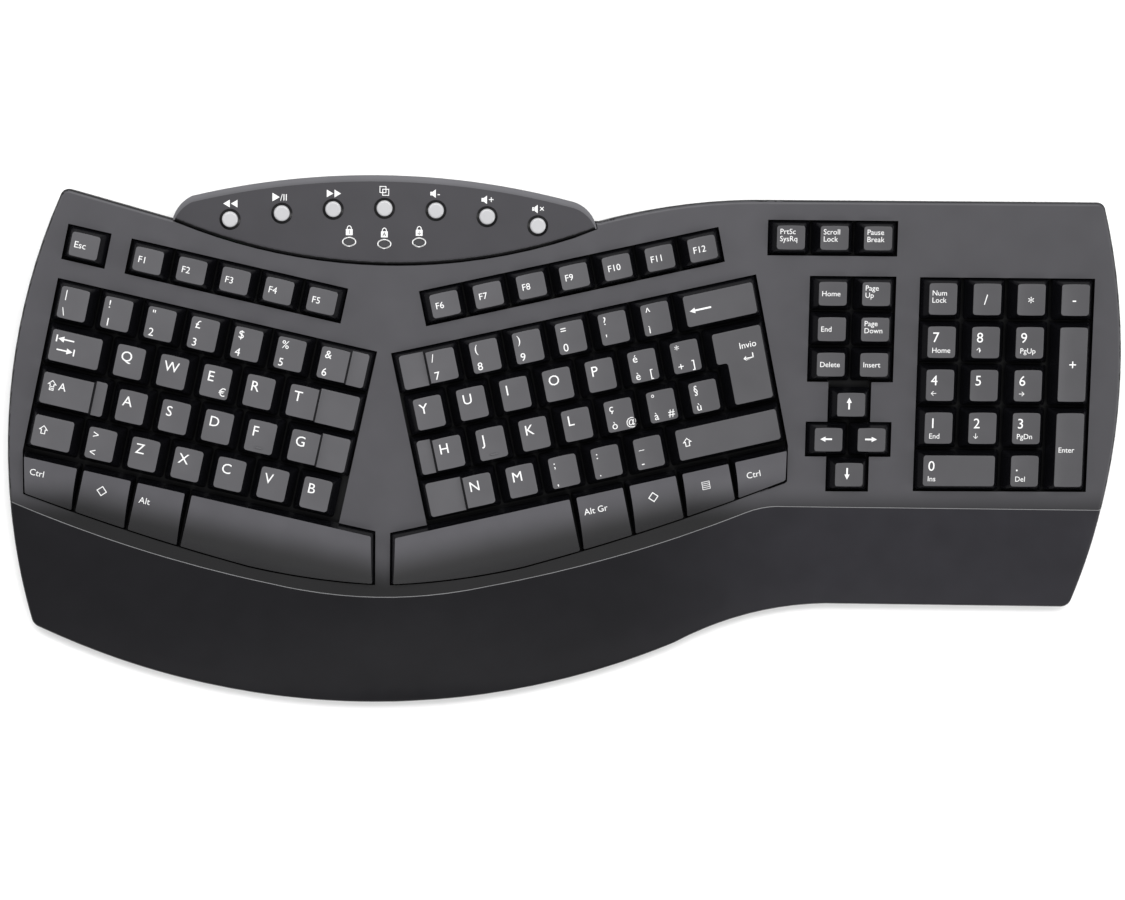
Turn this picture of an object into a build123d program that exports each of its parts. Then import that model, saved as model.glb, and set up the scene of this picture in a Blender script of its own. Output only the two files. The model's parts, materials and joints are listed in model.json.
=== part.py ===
from build123d import *
import math
import os

os.makedirs("parts", exist_ok=True)

# An ergonomic split keyboard, in millimetres. X runs to the right, Y to the rear and Z up from the table.
# The key halves meet on a ridge line. Each half has its own tilted plane, in which x runs along the rows,
# y to the rear and z out of the keys, with zero at the key tops.

# Key layout
key_pitch = 19.05            # from one key to the next, and from row to row
function_depth = 15.6        # row to row in the function, system and navigation keys
half_turn = 12.56            # degrees that each half is turned outwards
side_fall = 5.0              # degrees that each half falls away from the ridge
front_fall = 6.5             # degrees that the key field falls to the front
key_shift = 9.0              # each half is pushed this far out along its rows
bridge_x = -1.6              # the bridge between the halves lies a little left of the ridge
bar_bridge = 3.24            # from the middle of the bridge to the wells of the space bars
full_row = 15                # key widths in a full row
split_place = 7              # key widths to the left of the split
row_strip = 8.3              # strip of deck between the function row and the number row
nav_strip = 6.8              # strip of deck between the right half and the navigation keys
numpad_strip = 9.8           # strip of deck between the navigation keys and the number pad
numpad_pitch = 19.5          # columns of the number pad
numpad_row_y = 8.7           # rear row of the number pad
numpad_rows = 5
nav_row_y = 10.6             # rear row of the navigation keys
system_row_y = 35.0          # row of the three system keys
arrow_row_gap = 2.1          # extra space between the navigation keys and the arrow keys
corner_key_width = 26.9      # the two outer keys of the bottom row
bottom_key_width = 23.9      # the other small keys of the bottom row
bottom_row_gap = 1.4         # extra space behind the bottom row
bottom_row_depth = 27.9      # deepest point of the bottom row, behind the deck's front strip
bottom_stem_inset = 7.25     # stems of the bottom row, in front of its rear edge
space_bar_post = 25.0        # side posts of a space bar, from its middle

# Key caps
cap_gap = 0.75               # between the skirts of neighbouring caps
cap_height = 7.6
cap_wall = 1.2
cap_top_wall = 1.6
side_inset = 3.05            # slope of a cap's sides, from skirt to top
rear_inset = 1.6
front_inset = 3.0
dish_depth = 0.5
ledge_drop = 2.2             # a stepped cap's ledge below its top
bottom_side_inset = 1.2
bottom_rear_drop = 0.2       # rear edge of a bottom row cap below the other key tops
bottom_front_drop = 4.8      # front edge of a bottom row cap below the other key tops
bottom_crown = 1.2           # rise of its curved top over a straight slope
key_travel = 3.4
press_clearance = 0.3
stem_side = 5.0
stem_clearance = 0.25
weld = 0.4                   # how far joined features run into each other

# Layers under the keys
tower_wall = 1.1
tower_headroom = 1.0         # over a guide tower when its key is down
low_tower_drop = 1.6         # towers of the bottom row are this much shorter
guide_thickness = 1.4
membrane_thickness = 0.5
backplate_thickness = 0.8
dome_rest = 0.2              # height left in a dome when its key is down
dome_gap = 0.1
dome_base_radius = 2.6
dome_top_radius = 1.8
dome_sides = 6
layer_border = 1.3           # edge of the layers beyond the key wells
well_clearance = 0.4         # between a cap's skirt and the wall of its well
well_wall = 1.2

# Housing
pad_height = 1.5
floor_thickness = 2.0
floor_gap = 2.8              # between the floor and the lowest corner of the base plates
parting_height = 6.0         # where the covers meet the lower case
deck_drop = 5.5              # deck below the key tops
deck_wall = 2.0
cover_wall = 2.0
ridge_radius = 229.0
valley_radius = 80.0
edge_radius = 1.8
top_edge_angle = 20.0        # a cover's top edges are flatter than this, in degrees
seam_gap = 0.3
skirt_depth = 5.0            # depth of a cover's wall where it meets another cover
palm_step = 0.4              # palm rest below the deck at the seam
lip_height = 9.5             # front edge of the palm rest
panel_fit = 0.25
panel_rim_width = 2.8
panel_rim_drop = 1.1
panel_rise = 1.5             # degrees that the media panel rises to the rear
panel_front_height = 40.6
panel_radius = 760.0
rear_corner_radius = 4.0
front_corner_radius = 5.0
case_inset = 0.6             # lower case behind the covers' outer face
case_chamfer = 1.2

# Media buttons and indicators
button_radius = 3.4
button_hole_radius = 3.7
button_rise = 1.9
button_flange_radius = 4.7
button_flange = 1.0
button_travel = 0.8
button_neck_radius = 1.8
button_clearance = 0.2
button_rim = 0.6
rim_depth = 0.4
button_wall = 1.5
button_edge_radius = 0.9
board_thickness = 1.6
board_depth = 8.2            # board below the media panel's lowest button
board_margin = 7.0           # board beyond the middles of the outer buttons
board_length = 19.0
board_shift = 2.5            # board in front of the middle of the media panel
board_post_radius = 2.2
small_dome_height = 2.0
lens_length = 4.6
lens_width = 2.9
lens_fit = 0.15
lens_rise = 0.2
lens_flange = 0.8

# Feet, pads and screws
foot_width = 34.0
foot_length = 19.0
foot_thickness = 4.2
foot_tip_width = 28.0
foot_pin_radius = 1.5
foot_pin_length = 2.2
foot_clearance = 0.35
foot_wall = 1.6
foot_sink = 0.6
pad_length = 26.0
pad_width = 9.0
pad_seat = 0.6
pad_fit = 0.15
screw_head_radius = 2.7
screw_head_height = 1.6
screw_radius = 1.3
screw_length = 6.5
screw_sink = 0.8
screw_clearance = 0.3
thread_gap = 0.1
slot_width = 0.7
post_radius = 4.6
boss_radius = 3.4
rib_post_radius = 3.0
inlet_width = 5.6
inlet_height = 6.4
inlet_corner = 1.8
wire_radius = 0.6
wire_arm = 5.0
wire_gap = 0.3
wire_margin = 6.2            # a wire is this much shorter than the skirt of its cap
overrun = 2.0                # how far cutting tools run past what they cut

# Rows of the letter block, in shares of the key pitch from the left end of a full row:
# the left side of each run of equal keys, and the inner side of each wide key
run_start_shares = {
    "esc_key": -0.015, "function_keys_left": 1.446, "function_keys_right": 7.342,
    "number_keys_left": 0, "number_keys_right": 7, "top_letter_keys_left": 1.5, "top_letter_keys_right": 6.5,
    "home_letter_keys_left": 1.75, "home_letter_keys_right": 6.75, "lower_letter_keys_left": 1.25,
    "lower_letter_keys_right": 7.25,
}
wide_key_shares = {
    "backspace_key": 13, "tab_key": 1.5, "caps_lock_key": 1.5, "left_shift_key": 1.25, "right_shift_key": 12.25,
    "enter_arm": 13.5, "enter_tall": 13.75,
}

# Outline of the housing in plan, in shares of the key pitch from the top of the ridge
rear_left_share = (-7.29, 2.845)
left_side_share = (-8.588, -2.10)
front_left_share = (-8.094, -7.165)
front_middle_share = (-1.05, -8.945)
front_turn_share = (6.72, -7.57)
front_bend_share = (8.40, -6.905)
front_straight_share = (10.236, -6.646)
front_right_share = (15.984, -6.709)
right_side_share = (16.976, -2.021)
rear_right_share = (16.42, 2.74)
rear_straight_share = (8.64, 2.719)
rear_bend_share = (6.709, 2.593)
rear_panel_right_share = (4.793, 2.194)
rear_panel_left_share = (-4.856, 2.168)
panel_end_shares = ((-4.85, 2.136), (4.72, 2.016))
panel_bend_shares = ((-4.70, 2.44), (4.488, 2.446))
panel_shoulder_shares = ((-4.41, 2.672), (4.12, 2.635))
panel_rear_share = (-0.157, 3.171)
panel_front_share = (-0.05, 1.17)
valley_share = 8.82
seam_left_shares = ((-9.03, -4.116), (-5.67, -5.376), (-2.625, -6.152))
seam_middle_shares = ((-0.105, -6.441), (2.362, -6.189))
seam_right_shares = ((5.407, -5.480), (8.294, -4.504))
seam_bend_shares = ((8.74, -4.378), (9.239, -4.352))
seam_end_share = (17.585, -4.415)
front_limit_share = -10.5

# Fall of the palm rest from the seam to its front, in shares: along its depth and down to the lip
palm_sections = 20
crossing_turns = 6
palm_fall_shares = ((-0.08, -0.03), (0.0, 0.0), (0.35, 0.25), (0.70, 0.61), (1.0, 1.0), (1.08, 1.12))

# Curved front of the bottom row's well, in shares of the key pitch, outwards and to the rear
well_front_shares = ((-1.47, 0.341), (0.21, 0.084), (1.89, 0.0), (4.99, 0.215), (8.82, 0.73))

# Places of small parts, in shares of the key pitch
button_shares = (
    (-3.554, 2.147), (-2.394, 2.294), (-1.244, 2.394), (-0.094, 2.425), (1.060, 2.388), (2.215, 2.262), (3.365, 2.068),
)
lens_shares = ((-0.882, 1.669), (-0.094, 1.627), (0.688, 1.669))
board_post_shares = ((-2.97, 2.36), (-0.67, 2.57), (0.48, 2.57), (2.79, 2.36))
foot_shares = ((-5.2, 0.95), (14.2, 1.45))
pad_shares = ((-6.6, -6.9), (2.4, -7.9), (14.6, -6.1), (-6.9, 2.0), (4.4, 0.7), (15.9, 0.6))
palm_screw_shares = ((-6.4, -6.1), (-0.1, -7.4), (5.6, -6.4), (14.0, -5.1))
deck_screw_shares = ((-5.6, 2.08), (6.6, 2.25), (12.3, 2.05))
panel_screw_shares = ((-4.2, 2.3), (4.12, 2.22))
support_shares = {
    "left": ((-6.6, -4.0), (-3.6, -1.6), (-6.9, -0.9), (-0.9, -5.4)),
    "right": ((0.9, -5.4), (4.6, -3.2), (8.0, -3.3), (1.6, -0.9)),
    "block": ((9.9, -3.7), (15.9, -3.7), (9.9, 1.9), (15.9, 0.5)),
}

# Worked out from the sizes above
skirt_bottom = -cap_height
guide_top = skirt_bottom - key_travel - press_clearance
guide_bottom = guide_top - guide_thickness
membrane_bottom = guide_bottom - membrane_thickness
backplate_bottom = membrane_bottom - backplate_thickness
dome_height = key_travel + dome_rest
stem_bottom = guide_bottom + dome_height + dome_gap
tower_top = -cap_top_wall - key_travel - tower_headroom
low_tower_top = tower_top - low_tower_drop
tower_side = stem_side + 2 * (stem_clearance + tower_wall)
side_slope = math.tan(math.radians(side_fall))
front_slope = math.tan(math.radians(front_fall))
head_top = pad_height + screw_sink + screw_head_height
upright = math.sqrt(1 + side_slope ** 2 + front_slope ** 2)
function_row_y = (rear_inset - front_inset) / 2
number_row_y = function_row_y - (function_depth + key_pitch) / 2 - row_strip
upper_row_y = number_row_y - key_pitch
home_row_y = upper_row_y - key_pitch
lower_row_y = home_row_y - key_pitch
bottom_rear_y = lower_row_y - key_pitch / 2 - bottom_row_gap
well_front_y = bottom_rear_y - bottom_row_depth
valley_x = valley_share * key_pitch
block_front_y = numpad_row_y - (numpad_rows - 1 / 2) * key_pitch
case_floor = pad_height + floor_thickness
field_fall = valley_x * side_slope - block_front_y * front_slope
crest_height = case_floor + floor_gap - backplate_bottom * upright + field_fall
deck_crest = crest_height - deck_drop * upright
block_crest = crest_height - valley_x * side_slope


def at(share):
    # a point of the plan from its shares
    return (share[0] * key_pitch, share[1] * key_pitch)


def key_plane(side):
    # plane of the key tops: left half -1, right half 1, navigation and number block 0
    slope_x = -side * side_slope
    turn = math.radians(side * half_turn)
    heading = Vector(math.cos(turn), math.sin(turn), slope_x * math.cos(turn) + front_slope * math.sin(turn))
    height = crest_height if side else block_crest
    return Plane(origin=(0, 0, height), x_dir=heading, z_dir=Vector(-slope_x, -front_slope, 1))


planes = {"left": key_plane(-1), "right": key_plane(1), "block": key_plane(0)}


def column(share, half):
    # place along a row, counted in key widths from the left end of the keyboard
    shift = {"left": -key_shift, "right": key_shift}[half]
    return (share - split_place) * key_pitch + shift


def across(half, world_x, y, z):
    # place along a row of the point at y and z that lies at world_x
    plane = planes[half]
    return (world_x - plane.y_dir.X * y - plane.z_dir.X * z) / plane.x_dir.X


def prism(face, low, high):
    # upright block over a plan, between two heights
    return extrude(Pos(0, 0, low) * face, high - low, dir=(0, 0, 1))


def facing_up(shape):
    face = shape.faces()[0]
    return face if face.normal_at().Z > 0 else -face


def plan(*edges):
    # flat area inside a closed line of edges
    return facing_up(make_face(edges))


def rectangle(low, high, front, rear):
    return facing_up(Pos((low + high) / 2, (front + rear) / 2, 0) * Rectangle(high - low, rear - front))


def grown(area, amount):
    # area with its outline moved outwards, its curved sides kept as true arcs
    moved = offset(area, amount, kind=Kind.INTERSECTION).faces()[0]
    sides = []
    for edge in moved.outer_wire().edges():
        if edge.geom_type == GeomType.LINE:
            sides.append(Line(edge @ 0, edge @ 1))
        else:
            sides.append(ThreePointArc(edge @ 0, edge @ 0.5, edge @ 1))
    return plan(*sides)


# Keys. Each key is a dictionary of its cell in the plane of its half.


def key(half, low, high, row_y, depth=key_pitch, dished=False, ledge=None):
    return {"half": half, "low": low, "high": high, "y": row_y, "depth": depth, "dished": dished, "ledge": ledge}


def run_of_keys(half, start, count, row_y, depth=key_pitch):
    # neighbouring keys of one width; start is the left side of the first cell
    edges = [start + i * key_pitch for i in range(count + 1)]
    return [key(half, edges[i], edges[i + 1], row_y, depth, dished=True) for i in range(count)]


left_end = column(0, "left")
right_end = column(full_row, "right")


def run(name, half, count, row_y, depth=key_pitch):
    return run_of_keys(half, column(run_start_shares[name], half), count, row_y, depth)


def wide_key(name, half, row_y):
    # key from the end of its row to its inner side
    inner = column(wide_key_shares[name], half)
    low, high = (left_end, inner) if half == "left" else (inner, right_end)
    return [key(half, low, high, row_y)]


def main_rows():
    rows = {
        "esc_key": run("esc_key", "left", 1, function_row_y, function_depth),
        "function_keys_left": run("function_keys_left", "left", 5, function_row_y, function_depth),
        "function_keys_right": run("function_keys_right", "right", 7, function_row_y, function_depth),
        "number_keys_left": run("number_keys_left", "left", 7, number_row_y),
        "number_keys_right": run("number_keys_right", "right", 6, number_row_y),
        "backspace_key": wide_key("backspace_key", "right", number_row_y),
        "tab_key": wide_key("tab_key", "left", upper_row_y),
        "top_letter_keys_left": run("top_letter_keys_left", "left", 5, upper_row_y),
        "top_letter_keys_right": run("top_letter_keys_right", "right", 7, upper_row_y),
        "caps_lock_key": wide_key("caps_lock_key", "left", home_row_y),
        "home_letter_keys_left": run("home_letter_keys_left", "left", 5, home_row_y),
        "home_letter_keys_right": run("home_letter_keys_right", "right", 7, home_row_y),
        "left_shift_key": wide_key("left_shift_key", "left", lower_row_y),
        "lower_letter_keys_left": run("lower_letter_keys_left", "left", 6, lower_row_y),
        "lower_letter_keys_right": run("lower_letter_keys_right", "right", 5, lower_row_y),
        "right_shift_key": wide_key("right_shift_key", "right", lower_row_y),
    }
    # stepped keys reach to the bridge, or to the next key
    for name in ("number_keys_left", "top_letter_keys_left", "home_letter_keys_left"):
        rows[name][-1]["ledge"] = bridge_x - well_clearance
    for name in ("number_keys_right", "home_letter_keys_right", "lower_letter_keys_right"):
        rows[name][0]["ledge"] = bridge_x + well_clearance
    rows["caps_lock_key"][0]["ledge"] = rows["home_letter_keys_left"][0]["low"] - cap_gap / 2
    return rows


half_corner_x = (planes["right"] * Pos(right_end, bottom_rear_y, -deck_drop)).position.X
nav_x = half_corner_x + nav_strip + key_pitch + 2 * well_clearance
numpad_x = nav_x + key_pitch + numpad_strip + 2 * numpad_pitch + well_clearance
arrow_row_y = nav_row_y - 3 * function_depth - arrow_row_gap


def block_rows():
    cap_side = numpad_pitch - key_pitch
    numpad_start = numpad_x - 2 * numpad_pitch
    rows = {
        "system_keys": run_of_keys("block", nav_x - 2 * key_pitch, 3, system_row_y, function_depth),
        "navigation_keys": [],
        "up_arrow_key": run_of_keys("block", nav_x - key_pitch / 2, 1, arrow_row_y, function_depth),
        "left_arrow_key": run_of_keys("block", nav_x - key_pitch, 1, arrow_row_y - function_depth, function_depth),
        "right_arrow_key": run_of_keys("block", nav_x, 1, arrow_row_y - function_depth, function_depth),
        "down_arrow_key": run_of_keys("block", nav_x - key_pitch / 2, 1, arrow_row_y - 2 * function_depth, function_depth),
    }
    for i in range(3):
        rows["navigation_keys"] += run_of_keys("block", nav_x - key_pitch, 2, nav_row_y - i * function_depth, function_depth)
    grid_x = [numpad_start + i * numpad_pitch + cap_side / 2 for i in range(4)]
    grid_y = [numpad_row_y - i * key_pitch for i in range(numpad_rows)]
    rows["numpad_top_keys"] = [key("block", x, x + key_pitch, grid_y[0], dished=True) for x in grid_x]
    digits = [key("block", x, x + key_pitch, y, dished=True) for y in grid_y[1:4] for x in grid_x[:3]]
    rows["numpad_digit_keys"] = digits + [key("block", grid_x[2], grid_x[2] + key_pitch, grid_y[4], dished=True)]
    rows["numpad_zero_key"] = [key("block", grid_x[0], grid_x[1] + key_pitch, grid_y[4])]
    tall = (("numpad_plus_key", grid_y[1]), ("numpad_enter_key", grid_y[3]))
    for name, y in tall:
        rows[name] = [key("block", grid_x[3], grid_x[3] + key_pitch, y - key_pitch / 2, 2 * key_pitch, dished=True)]
    return rows


def tapered(low, high, front, rear, height, wall=0.0):
    # key body with sloping sides from the skirt up to height; wall draws every side in
    share = height / cap_height
    width = high - low - 2 * wall
    depth = rear - front - 2 * wall
    x = (low + high) / 2
    y = (front + rear) / 2
    skirt = Pos(x, y, skirt_bottom) * Rectangle(width, depth)
    top = Rectangle(width - 2 * side_inset * share, depth - (front_inset + rear_inset) * share)
    return loft([skirt, Pos(x, y + (front_inset - rear_inset) * share / 2, skirt_bottom + height) * top], ruled=True)


def dish(low, high, front, rear):
    # cylinder that hollows a cap's top across its width
    half_width = (high - low) / 2 - side_inset
    radius = (half_width ** 2 + dish_depth ** 2) / (2 * dish_depth)
    place = Pos((low + high) / 2, (front + rear) / 2, radius - dish_depth)
    return place * Rot(90, 0, 0) * Cylinder(radius, rear - front)


def stem(x, y, top):
    return Pos(x, y, (stem_bottom + top) / 2) * Box(stem_side, stem_side, top - stem_bottom)


def cap_bounds(cell):
    gap = cap_gap / 2
    y = cell["y"]
    half_depth = cell["depth"] / 2 - gap
    return (cell["low"] + gap, cell["high"] - gap, y - half_depth, y + half_depth)


def stem_place(cell):
    return ((cell["low"] + cell["high"]) / 2, cell["y"])


def cap(cell):
    # hollow cap with its stem, and a lower ledge where the cell has one
    low, high, front, rear = cap_bounds(cell)
    outer = tapered(low, high, front, rear, cap_height)
    inner = tapered(low, high, front, rear, cap_height - cap_top_wall, cap_wall)
    if cell["dished"]:
        outer -= dish(low, high, front, rear)
    x, y = stem_place(cell)
    if cell["ledge"] is not None:
        ends = sorted((x, cell["ledge"]))
        outer += tapered(ends[0], ends[1], front, rear, cap_height - ledge_drop)
        inner += tapered(ends[0], ends[1], front, rear, cap_height - ledge_drop - cap_top_wall, cap_wall)
    return outer - inner + stem(x, y, weld - cap_top_wall)


plain_caps = {}


def placed_cap(cell):
    # equal plain caps are made once and copied
    if cell["ledge"] is not None:
        return cap(cell)
    x, y = stem_place(cell)
    width = cell["high"] - cell["low"]
    size = (round(width, 3), round(cell["depth"], 3), cell["dished"])
    if size not in plain_caps:
        middle = key(cell["half"], -width / 2, width / 2, 0, cell["depth"], cell["dished"])
        plain_caps[size] = cap(middle)
    return Pos(x, y, 0) * plain_caps[size]


def enter_bounds():
    # the upper arm of the enter key and its tall part
    gap = cap_gap / 2
    rear = upper_row_y + key_pitch / 2 - gap
    arm_low, tall_low = (column(wide_key_shares[name], "right") + gap for name in ("enter_arm", "enter_tall"))
    arm = (arm_low, right_end - gap, upper_row_y - key_pitch / 2 + gap, rear)
    tall = (tall_low, right_end - gap, home_row_y - key_pitch / 2 + gap, rear)
    return arm, tall


def enter_stem():
    arm, tall = enter_bounds()
    return ((tall[0] + tall[1]) / 2, (tall[2] + tall[3]) / 2)


def enter_cap():
    arm, tall = enter_bounds()
    outer = tapered(*arm, cap_height) + tapered(*tall, cap_height)
    height = cap_height - cap_top_wall
    inner = tapered(*arm, height, cap_wall) + tapered(*tall, height, cap_wall)
    x, y = enter_stem()
    return outer - inner + stem(x, y, weld - cap_top_wall)


# Bottom row. Its caps follow the curved front of their well.

side_sign = {"left": -1, "right": 1}
outer_end = {"left": left_end, "right": right_end}
bar_end_x = {"left": bridge_x - bar_bridge, "right": bridge_x + bar_bridge}
corner_x = {half: (planes[half] * Pos(outer_end[half], bottom_rear_y, -deck_drop)).position.X for half in side_sign}


def behind_front(half, inset):
    # plan of all that lies behind the curved front of the bottom row
    sign = side_sign[half]
    points = [(sign * x * key_pitch, well_front_y + y * key_pitch + inset) for x, y in well_front_shares]
    first = (points[0][0], function_row_y)
    last = (points[4][0], function_row_y)
    arcs = [ThreePointArc(*points[0:3]), ThreePointArc(*points[2:5])]
    return plan(*arcs, Line(points[4], last), Line(last, first), Line(first, points[0]))


def row_end(half, y, inset):
    # outer end of the bottom row, level with the side of the keyboard
    return across(half, corner_x[half], y, -deck_drop) - side_sign[half] * inset


def bar_end(half, y, inset):
    # inner end of a space bar, level with the bridge between the two bars
    return across(half, bar_end_x[half], y, -deck_drop) + side_sign[half] * inset


def bottom_area(half, start, end, inset):
    # plan of a bottom row cap; None stands for the outer end of the row and for the inner end of the bar
    rear = bottom_rear_y
    front = well_front_y - overrun
    outer = [(start, front), (start, rear)]
    inner = [(end, rear), (end, front)]
    if start is None:
        outer = [(row_end(half, front, inset), front), (row_end(half, rear, inset), rear)]
    if end is None:
        inner = [(bar_end(half, rear, inset), rear), (bar_end(half, front, inset), front)]
    area = plan(Polyline(*outer, *inner, close=True).edges())
    return facing_up(area & behind_front(half, inset))


def bottom_keys(half):
    # cells of the bottom row, from the outer end inwards, as start and end along the row
    inward = -side_sign[half]
    edges = [outer_end[half]]
    edges.append(edges[0] + inward * corner_key_width)
    names = {"left": ("left_ctrl_key", "left_os_key", "left_alt_key"),
             "right": ("right_ctrl_key", "menu_key", "right_os_key", "right_alt_key")}[half]
    for i in range(len(names) - 1):
        edges.append(edges[-1] + inward * bottom_key_width)
    gap = inward * cap_gap / 2
    cells = {name: (edges[i] + gap, edges[i + 1] - gap) for i, name in enumerate(names)}
    cells[names[0]] = (None, edges[1] - gap)
    cells[half + "_space_bar"] = (edges[-1] + gap, None)
    return cells


def bottom_profile(rear, front, drop, low, high):
    # block under the curved top of a bottom row cap, run along the row
    rear_z = -bottom_rear_drop - drop
    front_z = -bottom_front_drop - drop
    middle = (rear + (front - rear) / 2, rear_z + (front_z - rear_z) / 2 + bottom_crown)
    top = ThreePointArc((rear, rear_z), middle, (front, front_z))
    sides = Polyline((front, front_z), (front, skirt_bottom), (rear, skirt_bottom), (rear, rear_z))
    side = Plane(origin=(low, 0, 0), x_dir=(0, 1, 0), z_dir=(1, 0, 0))
    return extrude(side.location * plan(top, sides.edges()), high - low, dir=(1, 0, 0))


bottom_stem_y = bottom_rear_y - bottom_stem_inset


def bottom_stems(half, name):
    start, end = bottom_keys(half)[name]
    start = row_end(half, bottom_stem_y, 0) if start is None else start
    if end is not None:
        return [((start + end) / 2, bottom_stem_y)]
    x = (start + bar_end(half, bottom_stem_y, 0)) / 2
    return [(x - space_bar_post, bottom_stem_y), (x, bottom_stem_y), (x + space_bar_post, bottom_stem_y)]


def narrowing(area):
    # block over a plan that narrows to the top of the caps
    top = grown(area, -bottom_side_inset)
    return loft([Pos(0, 0, skirt_bottom) * area, top], ruled=True)


def bottom_cap(half, name):
    start, end = bottom_keys(half)[name]
    area = bottom_area(half, start, end, well_clearance)
    box = area.bounding_box()
    reach = (box.min.X - overrun, box.max.X + overrun)
    outer = narrowing(area)
    outer &= bottom_profile(bottom_rear_y, box.min.Y, 0, *reach)
    inner = narrowing(grown(area, -cap_wall))
    inner &= bottom_profile(bottom_rear_y, box.min.Y, cap_top_wall, *reach)
    places = bottom_stems(half, name)
    tails = [stem(x, y, skirt_bottom + weld) for x, y in places]
    return outer - (inner - [stem(x, y, 0) for x, y in places]) + tails


# Wells in the deck and the layers under the keys

half_rows = main_rows()
side_rows = block_rows()
all_cells = [cell for rows in (half_rows, side_rows) for cells in rows.values() for cell in cells]


def around(cells, margin=0.0):
    # rectangle around a run of cells
    low = min(cell["low"] for cell in cells) - margin
    high = max(cell["high"] for cell in cells) + margin
    front = min(cell["y"] - cell["depth"] / 2 for cell in cells) - margin
    rear = max(cell["y"] + cell["depth"] / 2 for cell in cells) + margin
    return rectangle(low, high, front, rear)


def main_well(half):
    # well of the letter block with the bottom row
    rear = number_row_y + key_pitch / 2
    step = bottom_rear_y + well_clearance
    front = well_front_y - overrun
    points = [
        (outer_end[half], rear), (bridge_x, rear), (bridge_x, step), (bar_end(half, step, 0), step),
        (bar_end(half, front, 0), front), (row_end(half, front, 0), front), (outer_end[half], bottom_rear_y),
    ]
    return facing_up(plan(Polyline(*points, close=True).edges()) & behind_front(half, 0))


def arrow_well():
    nav = side_rows["navigation_keys"]
    up_down = side_rows["up_arrow_key"] + side_rows["down_arrow_key"]
    box = around(up_down).bounding_box()
    spine = rectangle(box.min.X, box.max.X, box.min.Y, nav_row_y)
    sides = around(side_rows["left_arrow_key"] + side_rows["right_arrow_key"])
    return facing_up(around(nav) + spine + sides)


numpad_names = ("numpad_top_keys", "numpad_digit_keys", "numpad_zero_key", "numpad_plus_key", "numpad_enter_key")
numpad_cells = [cell for name in numpad_names for cell in side_rows[name]]
function_cells = {
    "left": [half_rows["esc_key"], half_rows["function_keys_left"]],
    "right": [half_rows["function_keys_right"]],
}


def wells(half):
    if half == "block":
        return [around(side_rows["system_keys"]), arrow_well(), around(numpad_cells)]
    return [main_well(half)] + [around(cells) for cells in function_cells[half]]


def layer_area(half):
    # outline of the plates under one part of the keys
    if half == "block":
        nav = side_rows["navigation_keys"]
        system = around(side_rows["system_keys"] + nav, layer_border).bounding_box()
        middle = around(nav + numpad_cells, layer_border)
        tail = around(nav + side_rows["down_arrow_key"], layer_border)
        rear = around(side_rows["system_keys"], layer_border)
        joint = rectangle(middle.bounding_box().min.X, system.max.X, middle.bounding_box().min.Y, system.max.Y)
        return facing_up(middle + tail + rear + joint)
    cells = [cell for run in function_cells[half] for cell in run]
    box = around(cells, layer_border).bounding_box()
    rear = rectangle(box.min.X, box.max.X, number_row_y, box.max.Y)
    return facing_up(grown(main_well(half), layer_border) + rear)


def stem_places(half):
    # place of every guide tower, with its height
    places = [(*stem_place(cell), tower_top) for cell in all_cells if cell["half"] == half]
    if half == "right":
        places.append((*enter_stem(), tower_top))
    if half in side_sign:
        for name in bottom_keys(half):
            places += [(x, y, low_tower_top) for x, y in bottom_stems(half, name)]
    return places


def dome_places(half):
    # one dome under each key, in the middle of a space bar
    places = [place[0:2] for place in stem_places(half) if place[2] == tower_top]
    if half in side_sign:
        for name in bottom_keys(half):
            stems = bottom_stems(half, name)
            places.append(stems[len(stems) // 2])
    return places


def key_guide(half):
    plate = prism(layer_area(half), guide_bottom, guide_top)
    bore = stem_side + 2 * stem_clearance
    towers = []
    bores = []
    for x, y, top in stem_places(half):
        middle = Pos(x, y, (guide_top - weld + top) / 2)
        towers.append(middle * Box(tower_side, tower_side, top - guide_top + weld))
        bores.append(Pos(x, y, (guide_bottom + tower_top) / 2) * Box(bore, bore, tower_top - guide_bottom + overrun))
    return plate + towers - bores


def dome(x, y, base, height):
    wide = RegularPolygon(dome_base_radius, dome_sides)
    narrow = RegularPolygon(dome_top_radius, dome_sides)
    return loft([Pos(x, y, base) * wide, Pos(x, y, base + height) * narrow], ruled=True)


def placed(half, shape):
    return planes[half].location * shape


def layer(low, high):
    return [placed(half, prism(layer_area(half), low, high)) for half in planes]


# Stabiliser wires under the wide keys: long side, arms and clips


def wire(x, y, length, turned=0):
    # wire with a long side and two arms to the rear, lying on the guide plate
    reach = length / 2 - wire_radius
    section = RegularPolygon(wire_radius, dome_sides)
    bar = Rot(0, 90, 0) * extrude(section, length / 2, both=True)
    arm = Pos(0, wire_arm / 2, 0) * Rot(90, 0, 0) * extrude(section, wire_arm / 2, both=True)
    whole = bar + [Pos(-reach, 0, 0) * arm, Pos(reach, 0, 0) * arm]
    return Pos(x, y, guide_top + wire_radius) * Rot(0, 0, turned) * whole


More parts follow.
